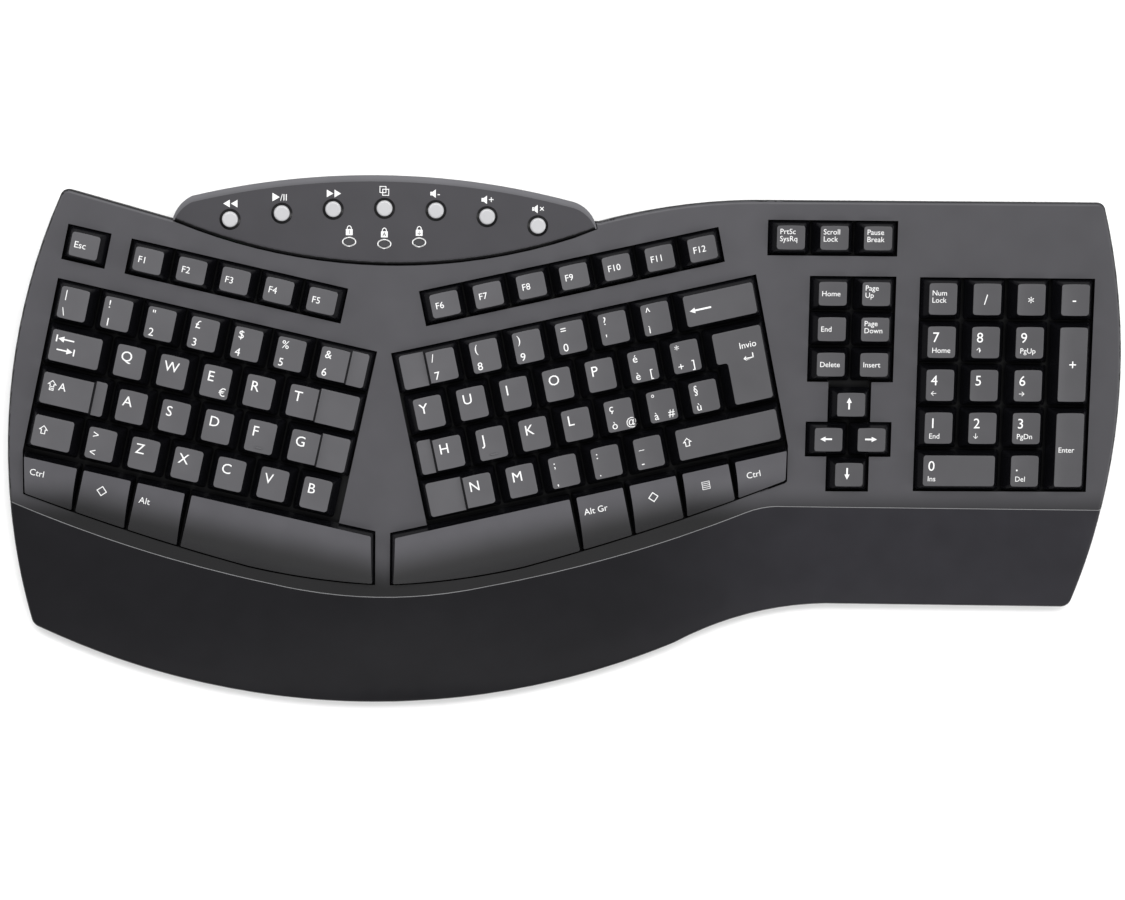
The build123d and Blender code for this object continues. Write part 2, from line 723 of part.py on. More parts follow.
def wires():
    line = tower_side / 2 + wire_gap + wire_radius
    back = half_rows["backspace_key"][0]
    shift = half_rows["right_shift_key"][0]
    zero = side_rows["numpad_zero_key"][0]
    parts = []
    for cell in (back, shift, zero):
        low, high = cap_bounds(cell)[0:2]
        parts.append((cell["half"], wire((low + high) / 2, cell["y"] - line, high - low - wire_margin)))
    for name in ("numpad_plus_key", "numpad_enter_key"):
        cell = side_rows[name][0]
        front, rear = cap_bounds(cell)[2:4]
        x = (cell["low"] + cell["high"]) / 2 + line
        parts.append(("block", wire(x, cell["y"], rear - front - wire_margin, 90)))
    x, y = enter_stem()
    tall = enter_bounds()[1]
    parts.append(("right", wire(x + line, y, tall[3] - tall[2] - wire_margin, 90)))
    for half in side_sign:
        middle = bottom_stems(half, half + "_space_bar")[1]
        parts.append((half, wire(middle[0], middle[1] - line, 2 * space_bar_post - 2 * line - wire_gap)))
    return [placed(half, shape) for half, shape in parts]


# Plans of the housing


def rounded(area, corners, radius):
    # area with the corners next to the given points rounded
    vertices = [min(area.vertices(), key=lambda v: (v.center() - Vector(*at(share))).length) for share in corners]
    return facing_up(area.fillet_2d(radius, vertices))


def front_line():
    # front edge of the keyboard, from left to right
    return [
        ThreePointArc(at(front_left_share), at(front_middle_share), at(front_turn_share)),
        ThreePointArc(at(front_turn_share), at(front_bend_share), at(front_straight_share)),
        Line(at(front_straight_share), at(front_right_share)),
    ]


def body_plan():
    area = plan(
        ThreePointArc(at(rear_left_share), at(left_side_share), at(front_left_share)),
        *front_line(),
        ThreePointArc(at(front_right_share), at(right_side_share), at(rear_right_share)),
        Line(at(rear_right_share), at(rear_straight_share)),
        ThreePointArc(at(rear_straight_share), at(rear_bend_share), at(rear_panel_right_share)),
        Line(at(rear_panel_right_share), at(rear_panel_left_share)),
        Line(at(rear_panel_left_share), at(rear_left_share)),
    )
    area = rounded(area, (rear_left_share, rear_right_share), rear_corner_radius)
    return rounded(area, (front_left_share, front_right_share), front_corner_radius)


def panel_plan():
    ends = [at(share) for share in panel_end_shares]
    bends = [at(share) for share in panel_bend_shares]
    shoulders = [at(share) for share in panel_shoulder_shares]
    return plan(
        ThreePointArc(shoulders[0], at(panel_rear_share), shoulders[1]),
        ThreePointArc(shoulders[1], bends[1], ends[1]),
        ThreePointArc(ends[1], at(panel_front_share), ends[0]),
        ThreePointArc(ends[0], bends[0], shoulders[0]),
    )


def seam_line():
    # seam between the deck and the palm rest, from left to right
    left = [at(share) for share in seam_left_shares]
    middle = [at(share) for share in seam_middle_shares]
    right = [at(share) for share in seam_right_shares]
    bend = [at(share) for share in seam_bend_shares]
    return [
        ThreePointArc(*left), ThreePointArc(left[2], *middle), ThreePointArc(middle[1], *right),
        ThreePointArc(right[1], *bend), Line(bend[1], at(seam_end_share)),
    ]


def palm_side():
    # everything in front of the seam
    start = at(seam_left_shares[0])
    end = at(seam_end_share)
    limit = front_limit_share * key_pitch
    rest = Polyline(end, (end[0], limit), (start[0], limit), start)
    return plan(*seam_line(), *rest.edges())


def crossing(edges, x):
    # y of a line of edges at x, or at its nearest end
    x = min(max(x, (edges[0] @ 0).X), (edges[-1] @ 1).X)
    edge = next(edge for edge in edges if (edge @ 1).X >= x)
    low, high = (edge @ 0).X, (edge @ 1).X
    share = (x - low) / (high - low)
    for turn in range(crossing_turns):
        share += (x - (edge @ share).X) / (high - low)
    return (edge @ share).Y


body_area = body_plan()
panel_area = panel_plan()
panel_hole = grown(panel_area, panel_fit)
deck_area = facing_up(body_area - Pos(0, seam_gap / 2, 0) * palm_side() - panel_hole)
palm_area = facing_up(body_area & Pos(0, -seam_gap / 2, 0) * palm_side())


def whole_plan(inset):
    # outline of the whole keyboard, drawn in
    return facing_up(grown(body_area, -inset) + grown(panel_area, -inset))


case_area = whole_plan(case_inset)
room_area = whole_plan(cover_wall)
left_limit = (left_side_share[0] - 1) * key_pitch
right_limit = (right_side_share[0] + 1) * key_pitch
front_limit = front_limit_share * key_pitch
rear_limit = (panel_rear_share[1] + 1) * key_pitch


def deck_height(x, y):
    # height of the deck over a point of the plan
    half_width = ridge_radius * side_slope
    if abs(x) < half_width:
        rounding = ridge_radius * (math.sqrt(1 + side_slope ** 2) - 1)
        fall = rounding + ridge_radius - math.sqrt(ridge_radius ** 2 - x ** 2)
    else:
        fall = side_slope * min(abs(x), valley_x if x > 0 else abs(x))
    return deck_crest - fall + front_slope * y


def under_deck(drop):
    # solid below the deck's surface, lowered by drop
    crest = deck_crest - drop
    corners = [
        (left_limit, crest + side_slope * left_limit), (0, crest),
        (valley_x, crest - side_slope * valley_x), (right_limit, crest - side_slope * valley_x),
    ]
    top = FilletPolyline(*corners, radius=(ridge_radius, valley_radius))
    base = Polyline(corners[-1], (right_limit, -crest), (left_limit, -crest), corners[0])
    section = Plane.XZ.location * make_face([*top.edges(), *base.edges()])
    start = Pos(0, front_limit, front_slope * front_limit) * section
    run = (rear_limit - front_limit) * math.sqrt(1 + front_slope ** 2)
    return extrude(start, run, dir=(0, 1, front_slope))


def under_palm(drop):
    # solid below the palm rest's surface, lowered by drop
    start = at(seam_left_shares[0])[0]
    run = at(seam_end_share)[0] - start
    seams = seam_line()
    fronts = front_line()
    sections = []
    for i in range(palm_sections):
        x = start + run * i / (palm_sections - 1)
        seam = crossing(seams, x)
        front = crossing(fronts, x)
        high = deck_height(x, seam) - palm_step
        line = [(seam + t * (front - seam), high - f * (high - lip_height) - drop) for t, f in palm_fall_shares]
        base = Polyline(line[-1], (line[-1][0], -high), (line[0][0], -high), line[0])
        side = Plane(origin=(x, 0, 0), x_dir=(0, 1, 0), z_dir=(1, 0, 0))
        sections.append(side.location * plan(Spline(*line), *base.edges()))
    return loft(sections)


panel_x, panel_front = at(panel_front_share)
panel_slope = math.tan(math.radians(panel_rise))


def panel_height(x, y):
    fall = panel_radius - math.sqrt(panel_radius ** 2 - (x - panel_x) ** 2)
    return panel_front_height - fall + panel_slope * (y - panel_front)


def under_panel(drop):
    # solid below the media panel's surface, lowered by drop
    reach = (panel_end_shares[1][0] + 1) * key_pitch
    points = [(x, panel_height(x, panel_front) - drop) for x in (panel_x - reach, panel_x, panel_x + reach)]
    top = ThreePointArc(*points)
    base = Polyline(points[2], (points[2][0], -panel_front_height), (points[0][0], -panel_front_height), points[0])
    start = Pos(0, panel_front - key_pitch, -panel_slope * key_pitch) * Plane.XZ.location * make_face(
        [top, *base.edges()])
    return extrude(start, rear_limit, dir=(0, 1, panel_slope))


def top_edges(shape):
    # edges between a cover's top and its walls
    low = parting_height + edge_radius
    steepest = math.sin(math.radians(top_edge_angle))
    edges = [edge for edge in shape.edges() if edge.position_at(0.5).Z > low]
    return [edge for edge in edges if abs(edge.tangent_at(0.5).Z) < steepest]


def cover(under, area, rounding):
    # a cover and the room under it: full walls at the outside, short skirts towards the other covers
    outer = under(0) & prism(rounding, parting_height, rear_limit)
    outer = outer.fillet(edge_radius, top_edges(outer)) & prism(area, parting_height, rear_limit)
    low = parting_height - overrun
    room = under(deck_wall) & prism(grown(area, -cover_wall), low, rear_limit)
    room += under(skirt_depth) & prism(facing_up(area & room_area), low, rear_limit)
    return outer, room


def screw_boss(x, y, top):
    return Pos(x, y, (parting_height + top) / 2) * Cylinder(boss_radius, top - parting_height)


def screw_hole(x, y):
    # hole in a boss for the end of a screw
    depth = screw_length + screw_clearance
    place = Pos(x, y, head_top + depth / 2)
    return place * Cylinder(screw_radius + thread_gap, depth)


def with_bosses(shell, outer, shares):
    # screw bosses from the underside of a cover down to the lower case
    places = [at(share) for share in shares]
    bosses = [screw_boss(x, y, rear_limit) & outer for x, y in places]
    return shell + bosses - [screw_hole(x, y) for x, y in places]


def top_deck():
    outer, room = cover(under_deck, deck_area, body_area)
    shell = with_bosses(outer - room, outer, deck_screw_shares)
    collars = []
    holes = []
    for half in planes:
        for area in wells(half):
            collars.append(placed(half, prism(grown(area, well_wall), guide_top, deck_wall - deck_drop)) & outer)
            holes.append(placed(half, prism(area, guide_top - overrun, deck_wall)))
    return shell + collars - holes


def palm_rest():
    outer, room = cover(under_palm, palm_area, facing_up(body_area & Pos(0, 2 * edge_radius, 0) * palm_side()))
    return with_bosses(outer - room, outer, palm_screw_shares)


button_places = [at(share) for share in button_shares]
lens_places = [at(share) for share in lens_shares]
lowest_button = min(panel_height(x, y) for x, y in button_places)
board_top = lowest_button - board_depth
board_x = (button_places[0][0] + button_places[-1][0]) / 2
board_width = button_places[-1][0] - button_places[0][0] + 2 * board_margin
board_y = (panel_rear_share[1] + panel_front_share[1]) * key_pitch / 2 - board_shift


def button_seat(x, y):
    # underside of the media panel over a button
    return panel_height(x, y) - button_wall


def inlet():
    # rounded hole for the cable through the rear walls
    x, y = at(panel_rear_share)
    height = inlet_height
    hole = Pos(x, y, case_floor + weld + height / 2) * Box(inlet_width, 2 * (cover_wall + overrun), height)
    return fillet(hole.edges().filter_by(Axis.Y), inlet_corner)


def media_panel():
    outer, room = cover(under_panel, panel_area, panel_area)
    rim = panel_area - Pos(0, -panel_rim_width, 0) * panel_area
    band = prism(facing_up(rim), parting_height, rear_limit) - under_panel(panel_rim_drop)
    outer -= band
    shell = with_bosses(outer - room, outer, panel_screw_shares) - inlet()
    cuts = []
    for x, y in button_places:
        high = panel_height(x, y)
        cuts.append(Pos(x, y, high) * Cylinder(button_hole_radius, 4 * deck_wall))
        cuts.append(Pos(x, y, high) * Cylinder(button_hole_radius + button_rim, 2 * rim_depth))
        pocket = Cylinder(button_flange_radius + button_rim, 2 * deck_wall)
        cuts.append(Pos(x, y, button_seat(x, y) - deck_wall) * pocket)
    for x, y in lens_places:
        hole = SlotOverall(lens_length + 2 * lens_fit, lens_width + 2 * lens_fit)
        cuts.append(prism(Pos(x, y, 0) * hole, panel_height(x, y) - 2 * deck_wall, rear_limit))
    return shell - cuts


def media_button(x, y):
    # round button with a flange under the panel and a neck down to its rubber dome
    seat = button_seat(x, y) - button_clearance
    top = panel_height(x, y) + button_rise
    body = Pos(x, y, (seat + top) / 2) * Cylinder(button_radius, top - seat)
    body = fillet(body.edges().group_by(Axis.Z)[-1], button_edge_radius)
    flange = Pos(x, y, seat - button_flange / 2) * Cylinder(button_flange_radius, button_flange)
    low = board_top + small_dome_height + dome_gap
    neck = Pos(x, y, (low + seat) / 2) * Cylinder(button_neck_radius, seat - low)
    return body + flange + neck


def controller_board():
    board = Pos(board_x, board_y, board_top - board_thickness / 2) * Box(board_width, board_length, board_thickness)
    return fillet(board.edges().filter_by(Axis.Z), board_thickness)


def indicator_lenses():
    # light guides standing on the board, a little proud of the panel
    parts = []
    for x, y in lens_places:
        low = panel_height(x, y) - 2 * deck_wall
        light = prism(Pos(x, y, 0) * SlotOverall(lens_length, lens_width), board_top, panel_height(x, y) + lens_rise)
        wide = SlotOverall(lens_length + 2 * lens_flange, lens_width + 2 * lens_flange)
        parts.append(light + prism(Pos(x, y, 0) * wide, low - lens_flange, low))
    return parts


# Lower case


def foot_pocket_size():
    # width, depth and roof height of the space for a foot
    reach = foot_length + foot_thickness / 2 + 2 * foot_clearance
    return (foot_width + 2 * foot_clearance, reach, foot_top + foot_clearance)


foot_bottom = pad_height + foot_sink
foot_top = foot_bottom + foot_thickness
foot_axis_z = foot_bottom + foot_thickness / 2


def foot_pocket(x, y, wall):
    # block around a foot's space; wall is its thickness all round, zero for the space itself
    width, depth, roof = foot_pocket_size()
    rear = y + foot_thickness / 2 + foot_clearance
    low = pad_height - overrun * (wall == 0)
    height = roof + wall - low
    place = Pos(x, rear - depth / 2, low + height / 2)
    return place * Box(width + 2 * wall, depth + 2 * wall, height)


def foot_pin(x, y, radius, end):
    # cylinder along the hinge line of a foot, from side to side
    return Pos(x, y, foot_axis_z) * Rot(0, 90, 0) * Cylinder(radius, foot_width + 2 * end)


def foot(x, y):
    # flat foot lying to the front of its pins
    half = foot_width / 2
    tip = foot_tip_width / 2
    outline = Polyline((-half, 0), (half, 0), (tip, -foot_length), (-tip, -foot_length), close=True)
    plate = prism(Pos(x, y, 0) * plan(*outline.edges()), foot_bottom, foot_top)
    corners = plate.edges().filter_by(Axis.Z).group_by(Axis.Y)[0]
    plate = fillet(corners, foot_thickness / 2)
    barrel = Pos(x, y, foot_axis_z) * Rot(0, 90, 0) * Cylinder(foot_thickness / 2, foot_width)
    return plate + barrel + foot_pin(x, y, foot_pin_radius, foot_pin_length)


def pad_slot(x, y, grow, low, high):
    return prism(Pos(x, y, 0) * SlotOverall(pad_length + 2 * grow, pad_width + 2 * grow), low, high)


def support_posts():
    # posts from the floor up to the base plates
    posts = []
    for half, shares in support_shares.items():
        limit = placed(half, prism(Rectangle(right_limit * 2, right_limit * 2), -right_limit, backplate_bottom))
        for x, y in map(at, shares):
            post = Pos(x, y, case_floor - weld + rear_limit / 2) * Cylinder(rib_post_radius, rear_limit)
            posts.append(post & limit)
    return posts


all_screw_places = [at(share) for share in palm_screw_shares + deck_screw_shares + panel_screw_shares]


def bottom_case():
    low = Pos(0, 0, pad_height) * whole_plan(case_inset + case_chamfer)
    bevel = loft([low, Pos(0, 0, pad_height + case_chamfer) * case_area], ruled=True)
    tray = prism(case_area, pad_height + case_chamfer, parting_height) + bevel
    tray -= prism(whole_plan(case_inset + cover_wall), case_floor, rear_limit)
    posts = support_posts()
    screw_posts = [prism(Pos(x, y, 0) * Circle(post_radius), pad_height, parting_height) for x, y in all_screw_places]
    posts += [post & prism(case_area, pad_height, parting_height) for post in screw_posts]
    for x, y in map(at, board_post_shares):
        height = board_top - board_thickness - case_floor + weld
        posts.append(Pos(x, y, case_floor - weld + height / 2) * Cylinder(board_post_radius, height))
    feet = [at(share) for share in foot_shares]
    tray = tray + posts + [foot_pocket(x, y, foot_wall) for x, y in feet]
    cuts = [foot_pocket(x, y, 0) for x, y in feet]
    cuts += [foot_pin(x, y, foot_pin_radius + foot_clearance, foot_pin_length + foot_clearance) for x, y in feet]
    for x, y in all_screw_places:
        head = head_top - pad_height
        cuts.append(Pos(x, y, pad_height + head / 2) * Cylinder(screw_head_radius + screw_clearance, head))
        cuts.append(Pos(x, y, parting_height) * Cylinder(screw_radius + screw_clearance, 2 * parting_height))
    cuts += [pad_slot(x, y, pad_fit, pad_height - overrun, pad_height + pad_seat) for x, y in map(at, pad_shares)]
    return tray - cuts - inlet()


def case_screw(x, y):
    head = Pos(x, y, head_top - screw_head_height / 2) * Cylinder(screw_head_radius, screw_head_height)
    shaft = Pos(x, y, head_top + screw_length / 2) * Cylinder(screw_radius, screw_length)
    slot = Pos(x, y, head_top - screw_head_height)
    cross = Box(screw_head_radius, slot_width, screw_head_height)
    return head + shaft - [slot * cross, slot * Rot(0, 0, 90) * cross]


# All parts by name, moved so that the middle of the outline is the origin, and written out


def key_parts():
    parts = {}
    for rows in (half_rows, side_rows):
        for name, cells in rows.items():
            parts[name] = [placed(cell["half"], placed_cap(cell)) for cell in cells]
    parts["enter_key"] = [placed("right", enter_cap())]
    for half in side_sign:
        for name in bottom_keys(half):
            parts[name] = [placed(half, bottom_cap(half, name))]
    return parts


button_names = ("rewind", "play", "forward", "media", "volume_down", "volume_up", "mute")


def small_parts():
    parts = {}
    for name, place in zip(button_names, button_places):
        parts[name + "_button"] = [media_button(*place)]
    parts["left_foot"] = [foot(*at(foot_shares[0]))]
    parts["right_foot"] = [foot(*at(foot_shares[1]))]
    parts["controller_board"] = [controller_board()]
    parts["indicator_lenses"] = indicator_lenses()
    parts["rubber_pads"] = [pad_slot(x, y, 0, 0, pad_height + pad_seat) for x, y in map(at, pad_shares)]
    parts["case_screws"] = [case_screw(x, y) for x, y in all_screw_places]
    return parts


def layer_parts():
    domes = [
        placed(half, dome(x, y, guide_bottom, dome_height))
        for half in planes
        for x, y in dome_places(half)
    ]
    domes += [dome(x, y, board_top, small_dome_height) for x, y in button_places]
    return {
        "key_guides": [placed(half, key_guide(half)) for half in planes],
        "rubber_domes": domes,
        "membranes": layer(membrane_bottom, guide_bottom),
        "backplates": layer(backplate_bottom, membrane_bottom),
        "stabiliser_wires": wires(),
    }


def housing_parts():
    return {
        "top_deck": [top_deck()],
        "palm_rest": [palm_rest()],
        "media_panel": [media_panel()],
        "bottom_case": [bottom_case()],
    }


outline = (body_area + panel_area).bounding_box()
origin = Pos(-outline.center().X, -outline.center().Y, 0)

for parts in (key_parts(), small_parts(), layer_parts(), housing_parts()):
    for name, shapes in parts.items():
        solids = [solid for shape in shapes for solid in shape.solids()]
        export_step(origin * Compound(solids), "parts/" + name + ".step")
print("moved by", -outline.center().X, -outline.center().Y, "crest", crest_height)
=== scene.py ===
import bpy, bmesh, json, math
from mathutils import Matrix, Vector
from mathutils.bvhtree import BVHTree

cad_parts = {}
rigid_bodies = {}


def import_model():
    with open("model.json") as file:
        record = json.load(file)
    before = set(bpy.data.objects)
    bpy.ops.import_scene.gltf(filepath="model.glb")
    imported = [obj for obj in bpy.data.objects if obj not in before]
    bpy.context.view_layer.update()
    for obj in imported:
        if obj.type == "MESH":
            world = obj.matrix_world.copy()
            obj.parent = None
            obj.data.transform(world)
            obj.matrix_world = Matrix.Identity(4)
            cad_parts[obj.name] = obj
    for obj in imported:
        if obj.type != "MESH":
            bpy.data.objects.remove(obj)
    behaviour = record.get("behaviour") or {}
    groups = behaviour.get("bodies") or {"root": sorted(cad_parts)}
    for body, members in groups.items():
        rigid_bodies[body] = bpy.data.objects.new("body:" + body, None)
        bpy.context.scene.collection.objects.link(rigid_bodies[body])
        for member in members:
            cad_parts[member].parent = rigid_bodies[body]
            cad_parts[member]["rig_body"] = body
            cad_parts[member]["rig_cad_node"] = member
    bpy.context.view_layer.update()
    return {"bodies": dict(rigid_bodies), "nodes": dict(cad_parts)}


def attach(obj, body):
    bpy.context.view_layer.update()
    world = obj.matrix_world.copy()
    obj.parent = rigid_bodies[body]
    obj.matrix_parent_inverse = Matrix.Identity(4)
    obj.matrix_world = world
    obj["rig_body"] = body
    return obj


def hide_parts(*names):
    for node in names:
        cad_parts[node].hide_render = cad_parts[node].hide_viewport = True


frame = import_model()
nodes = frame["nodes"]
mm = 0.001

# camera at the photograph's place, above the ridge and leaning a little: mm and degrees
view = {
    "x": -91.91, "y": 79.47, "height": 1443.92, "roll": 3.58, "pitch": 3.31, "yaw": 0.52, "lens": 104.46,
    "sensor": 36, "reach": 20000,
}
bpy.ops.object.camera_add()
camera = bpy.context.object
camera.name = "photoCamera"
camera.data.lens = view["lens"]
camera.data.sensor_width = view["sensor"]
camera.data.clip_end = view["reach"] * mm
turn = (Matrix.Rotation(math.radians(-view["yaw"]), 3, "Z")
        @ Matrix.Rotation(math.radians(view["pitch"]), 3, "X")
        @ Matrix.Rotation(math.radians(view["roll"]), 3, "Y"))
cameraPlace = Vector((view["x"], view["y"], view["height"])) * mm
camera.matrix_world = Matrix.Translation(cameraPlace) @ turn.transposed().to_4x4()
bpy.context.scene.camera = camera
print("camera set")

# soft studio light over a pale floor; each light has its place and size in metres and its power
studio = {
    "floor": (0.88, 0.88, 0.88), "floorSize": 8, "sky": 0.62,
    "lights": {
        "rearLight": ((0.0, 0.75, 1.5), (1.6, 0.8), 30), "frontLight": ((0.1, -1.2, 1.3), (1.8, 0.5), 7),
        "rightLight": ((1.4, -0.3, 1.0), (0.6, 1.2), 10), "leftLight": ((-1.4, 0.2, 1.0), (0.6, 1.2), 5),
    },
}
world = bpy.data.worlds.new("studioWorld")
bpy.context.scene.world = world
bpy.context.scene.view_settings.view_transform = "Standard"
world.use_nodes = True
world.node_tree.nodes["Background"].inputs["Color"].default_value = (1, 1, 1, 1)
world.node_tree.nodes["Background"].inputs["Strength"].default_value = studio["sky"]


def addSoftLight(name, at, size, power):
    bpy.ops.object.light_add(type="AREA", location=at)
    light = bpy.context.object
    light.name = name
    light.data.shape = "RECTANGLE"
    light.data.size, light.data.size_y = size
    light.data.energy = power
    light.rotation_euler = (-Vector(at)).to_track_quat("-Z", "Y").to_euler()


for name, (at, size, power) in studio["lights"].items():
    addSoftLight(name, at, size, power)
bpy.ops.mesh.primitive_plane_add(size=studio["floorSize"], location=(0, 0, 0))
floor = bpy.context.object
floor.name = "studioFloor"
print("studio set")

# where the keys lie, as in the CAD: mm from the top of the ridge, and degrees
layout = {
    "x": -79.612, "y": 55.171, "crest": 43.92, "turn": 12.56, "sideFall": 5.0, "frontFall": 6.5,
    "valley": 168.02, "pitch": 19.05, "middlePlace": 7, "shift": 9.0, "capTop": 0.7, "fadeShare": 0.8,
}
row = {
    "function": -0.7, "number": -26.325, "upper": -45.375, "home": -64.425, "lower": -83.475, "system": 35.0,
    "nav1": 10.6, "nav2": -5.0, "nav3": -20.6, "arrowUp": -38.3, "arrowSide": -53.9, "arrowDown": -69.5,
    "pad1": 8.7, "pad2": -10.35, "pad3": -29.4, "pad4": -48.45, "pad5": -67.5,
}
blockColumn = {
    "system1": 174.5, "system2": 193.5, "system3": 212.6, "navLeft": 193.54, "navMiddle": 203.06,
    "navRight": 212.59, "pad1": 242.06, "pad2": 261.56, "pad3": 281.06, "pad4": 300.56,
}
planes = {}
for half, side in (("left", -1), ("right", 1), ("block", 0)):
    slopeX = -side * math.tan(math.radians(layout["sideFall"]))
    slopeY = math.tan(math.radians(layout["frontFall"]))
    angle = math.radians(side * layout["turn"])
    rise = slopeX * math.cos(angle) + slopeY * math.sin(angle)
    up = Vector((-slopeX, -slopeY, 1)).normalized()
    along = Vector((math.cos(angle), math.sin(angle), rise)).normalized()
    drop = 0 if side else layout["valley"] * math.tan(math.radians(layout["sideFall"]))
    place = Vector((layout["x"], layout["y"], layout["crest"] - drop)) * mm
    planes[half] = Matrix.Translation(place) @ Matrix((along, up.cross(along), up)).transposed().to_4x4()


def column(place, half):
    shift = layout["shift"] if half == "right" else -layout["shift"]
    return (place - layout["middlePlace"]) * layout["pitch"] + shift


# plastics: colour, roughness, size and depth of the moulded grain, how far the tone wanders, gloss
finishes = {
    "deckPlastic": ((0.050, 0.049, 0.054), 0.42, 2600, 0.10, 0.05, 0.25),
    "panelPlastic": ((0.029, 0.028, 0.032), 0.42, 2600, 0.08, 0.05, 0.25),
    "panelRim": ((0.095, 0.094, 0.102), 0.40, 2600, 0.08, 0.05, 0.25),
    "palmPlastic": ((0.0065, 0.0063, 0.0075), 0.38, 1500, 0.03, 0.08, 0.10),
    # painted highlight: the light line along the palm rest's seam
    "palmSeamHighlight": ((0.16, 0.16, 0.165), 0.35, 1500, 0.02, 0.05, 0.25),
    # painted shade on walls, grooves and the rear chamfer, also used for dark print
    "paintedShadeAndDarkPrint": ((0.0030, 0.0030, 0.0034), 0.28, 1500, 0.04, 0.10, 0.25),
    "casePlastic": ((0.012, 0.012, 0.013), 0.50, 1200, 0.25, 0.10, 0.3),
    # painted shade: the key guides between the caps, near black
    "guidePaintedShade": ((0.0035, 0.0035, 0.004), 0.35, 1500, 0.05, 0.10, 0.2),
    # painted light on one black plastic: the tops lighter as lit, the skirts below darker as shade
    "litKeyTop": ((0.068, 0.067, 0.072), 0.40, 2600, 0.10, 0.06, 0.3),
    "litBarTop": ((0.050, 0.049, 0.054), 0.36, 2600, 0.08, 0.06, 0.25),
    "shadedKeySkirt": ((0.0030, 0.0030, 0.0038), 0.24, 1500, 0.03, 0.10, 0.3),
    "legendInk": ((0.62, 0.62, 0.62), 0.55, 3000, 0.02, 0.03, 0.2),
    "buttonCap": ((0.34, 0.34, 0.35), 0.22, 2500, 0.02, 0.03, 0.6),
    "lensPlastic": ((0.030, 0.030, 0.033), 0.25, 2500, 0.03, 0.05, 0.4),
    "padRubber": ((0.014, 0.014, 0.014), 0.80, 1400, 0.30, 0.15, 0.3),
    "domeRubber": ((0.42, 0.42, 0.40), 0.55, 900, 0.05, 0.05, 0.4),
    "membraneFilm": ((0.30, 0.33, 0.36), 0.20, 400, 0.02, 0.20, 0.5),
    "boardLacquer": ((0.012, 0.10, 0.035), 0.30, 700, 0.08, 0.25, 0.5),
    "floorPaper": (studio["floor"], 0.9, 300, 0.01, 0.01, 0.2),
}
# metals: colour, roughness, how the brushed grain is stretched
metals = {
    "plateSteel": ((0.42, 0.42, 0.43), 0.38, (40, 900, 900)),
    "screwSteel": ((0.20, 0.20, 0.21), 0.35, (900, 900, 900)),
    "wireSteel": ((0.50, 0.50, 0.51), 0.25, (600, 600, 600)),
}
metalLook = {"grain": 1.0, "bump": 0.15, "mottle": 0.15}
grainLook = {"detail": 3, "depth": 0.1}
mottleLook = {"size": 60, "detail": 2, "from": 0.3, "to": 0.7}
ribLook = {"scale": 260, "bump": 0.6, "depth": 0.3, "mottle": 0.15}
# painted shade and light: factors that darken or lighten a colour from place to place
paintedShadeAndLight = {  # start and end in mm, then the factors there
    # painted shade: the deck darker towards the front strip and towards the right
    "deckPlastic": {"paintedRowShading": (-117, -101, 0.10, 1.0), "paintedSideShading": (60, 240, 1.0, 0.85)},
    # painted shade: key tops darker towards the right
    "litKeyTop": {"paintedSideShading": (-60, 120, 1.0, 0.74)},
    # painted shade and highlight: the bars' tops darker at the front and lighter at the rear
    "litBarTop": {"paintedRowShading": (-113, -97, 0.16, 1.25)},
    # painted light: the palm rest lighter towards the right
    "palmPlastic": {"paintedSideShading": (10, 130, 1.0, 2.6)},
}


def newMaterial(name, colour, rough, metallic=0.0):
    material = bpy.data.materials.new(name)
    material.use_nodes = True
    shader = material.node_tree.nodes["Principled BSDF"]
    shader.inputs["Base Color"].default_value = (*colour, 1)
    shader.inputs["Roughness"].default_value = rough
    shader.inputs["Metallic"].default_value = metallic
    return material, material.node_tree, shader


def addGrain(tree, shader, scale, strength, stretch=(1, 1, 1)):
    # fine moulded grain from the piece's own coordinates
    coords = tree.nodes.new("ShaderNodeTexCoord")
    mapping = tree.nodes.new("ShaderNodeMapping")
    mapping.inputs["Scale"].default_value = stretch
    noise = tree.nodes.new("ShaderNodeTexNoise")
    noise.inputs["Scale"].default_value = scale
    noise.inputs["Detail"].default_value = grainLook["detail"]
    bump = tree.nodes.new("ShaderNodeBump")
    bump.inputs["Strength"].default_value = strength
    bump.inputs["Distance"].default_value = grainLook["depth"] * mm
    tree.links.new(coords.outputs["Object"], mapping.inputs["Vector"])
    tree.links.new(mapping.outputs["Vector"], noise.inputs["Vector"])
    tree.links.new(noise.outputs["Fac"], bump.inputs["Height"])
    tree.links.new(bump.outputs["Normal"], shader.inputs["Normal"])
    return coords


def addMottle(tree, coords, colour, amount):
    # slow change of tone over the piece
    slow = tree.nodes.new("ShaderNodeTexNoise")
    slow.inputs["Scale"].default_value = mottleLook["size"]
    slow.inputs["Detail"].default_value = mottleLook["detail"]
    ramp = tree.nodes.new("ShaderNodeValToRGB")
    dark, light = ramp.color_ramp.elements
    dark.position = mottleLook["from"]
    light.position = mottleLook["to"]
    dark.color = (*[c * (1 - amount) for c in colour], 1)
    light.color = (*[min(1, c * (1 + amount)) for c in colour], 1)
    tree.links.new(coords.outputs["Object"], slow.inputs["Vector"])
    tree.links.new(slow.outputs["Fac"], ramp.inputs["Fac"])
    return ramp.outputs["Color"]


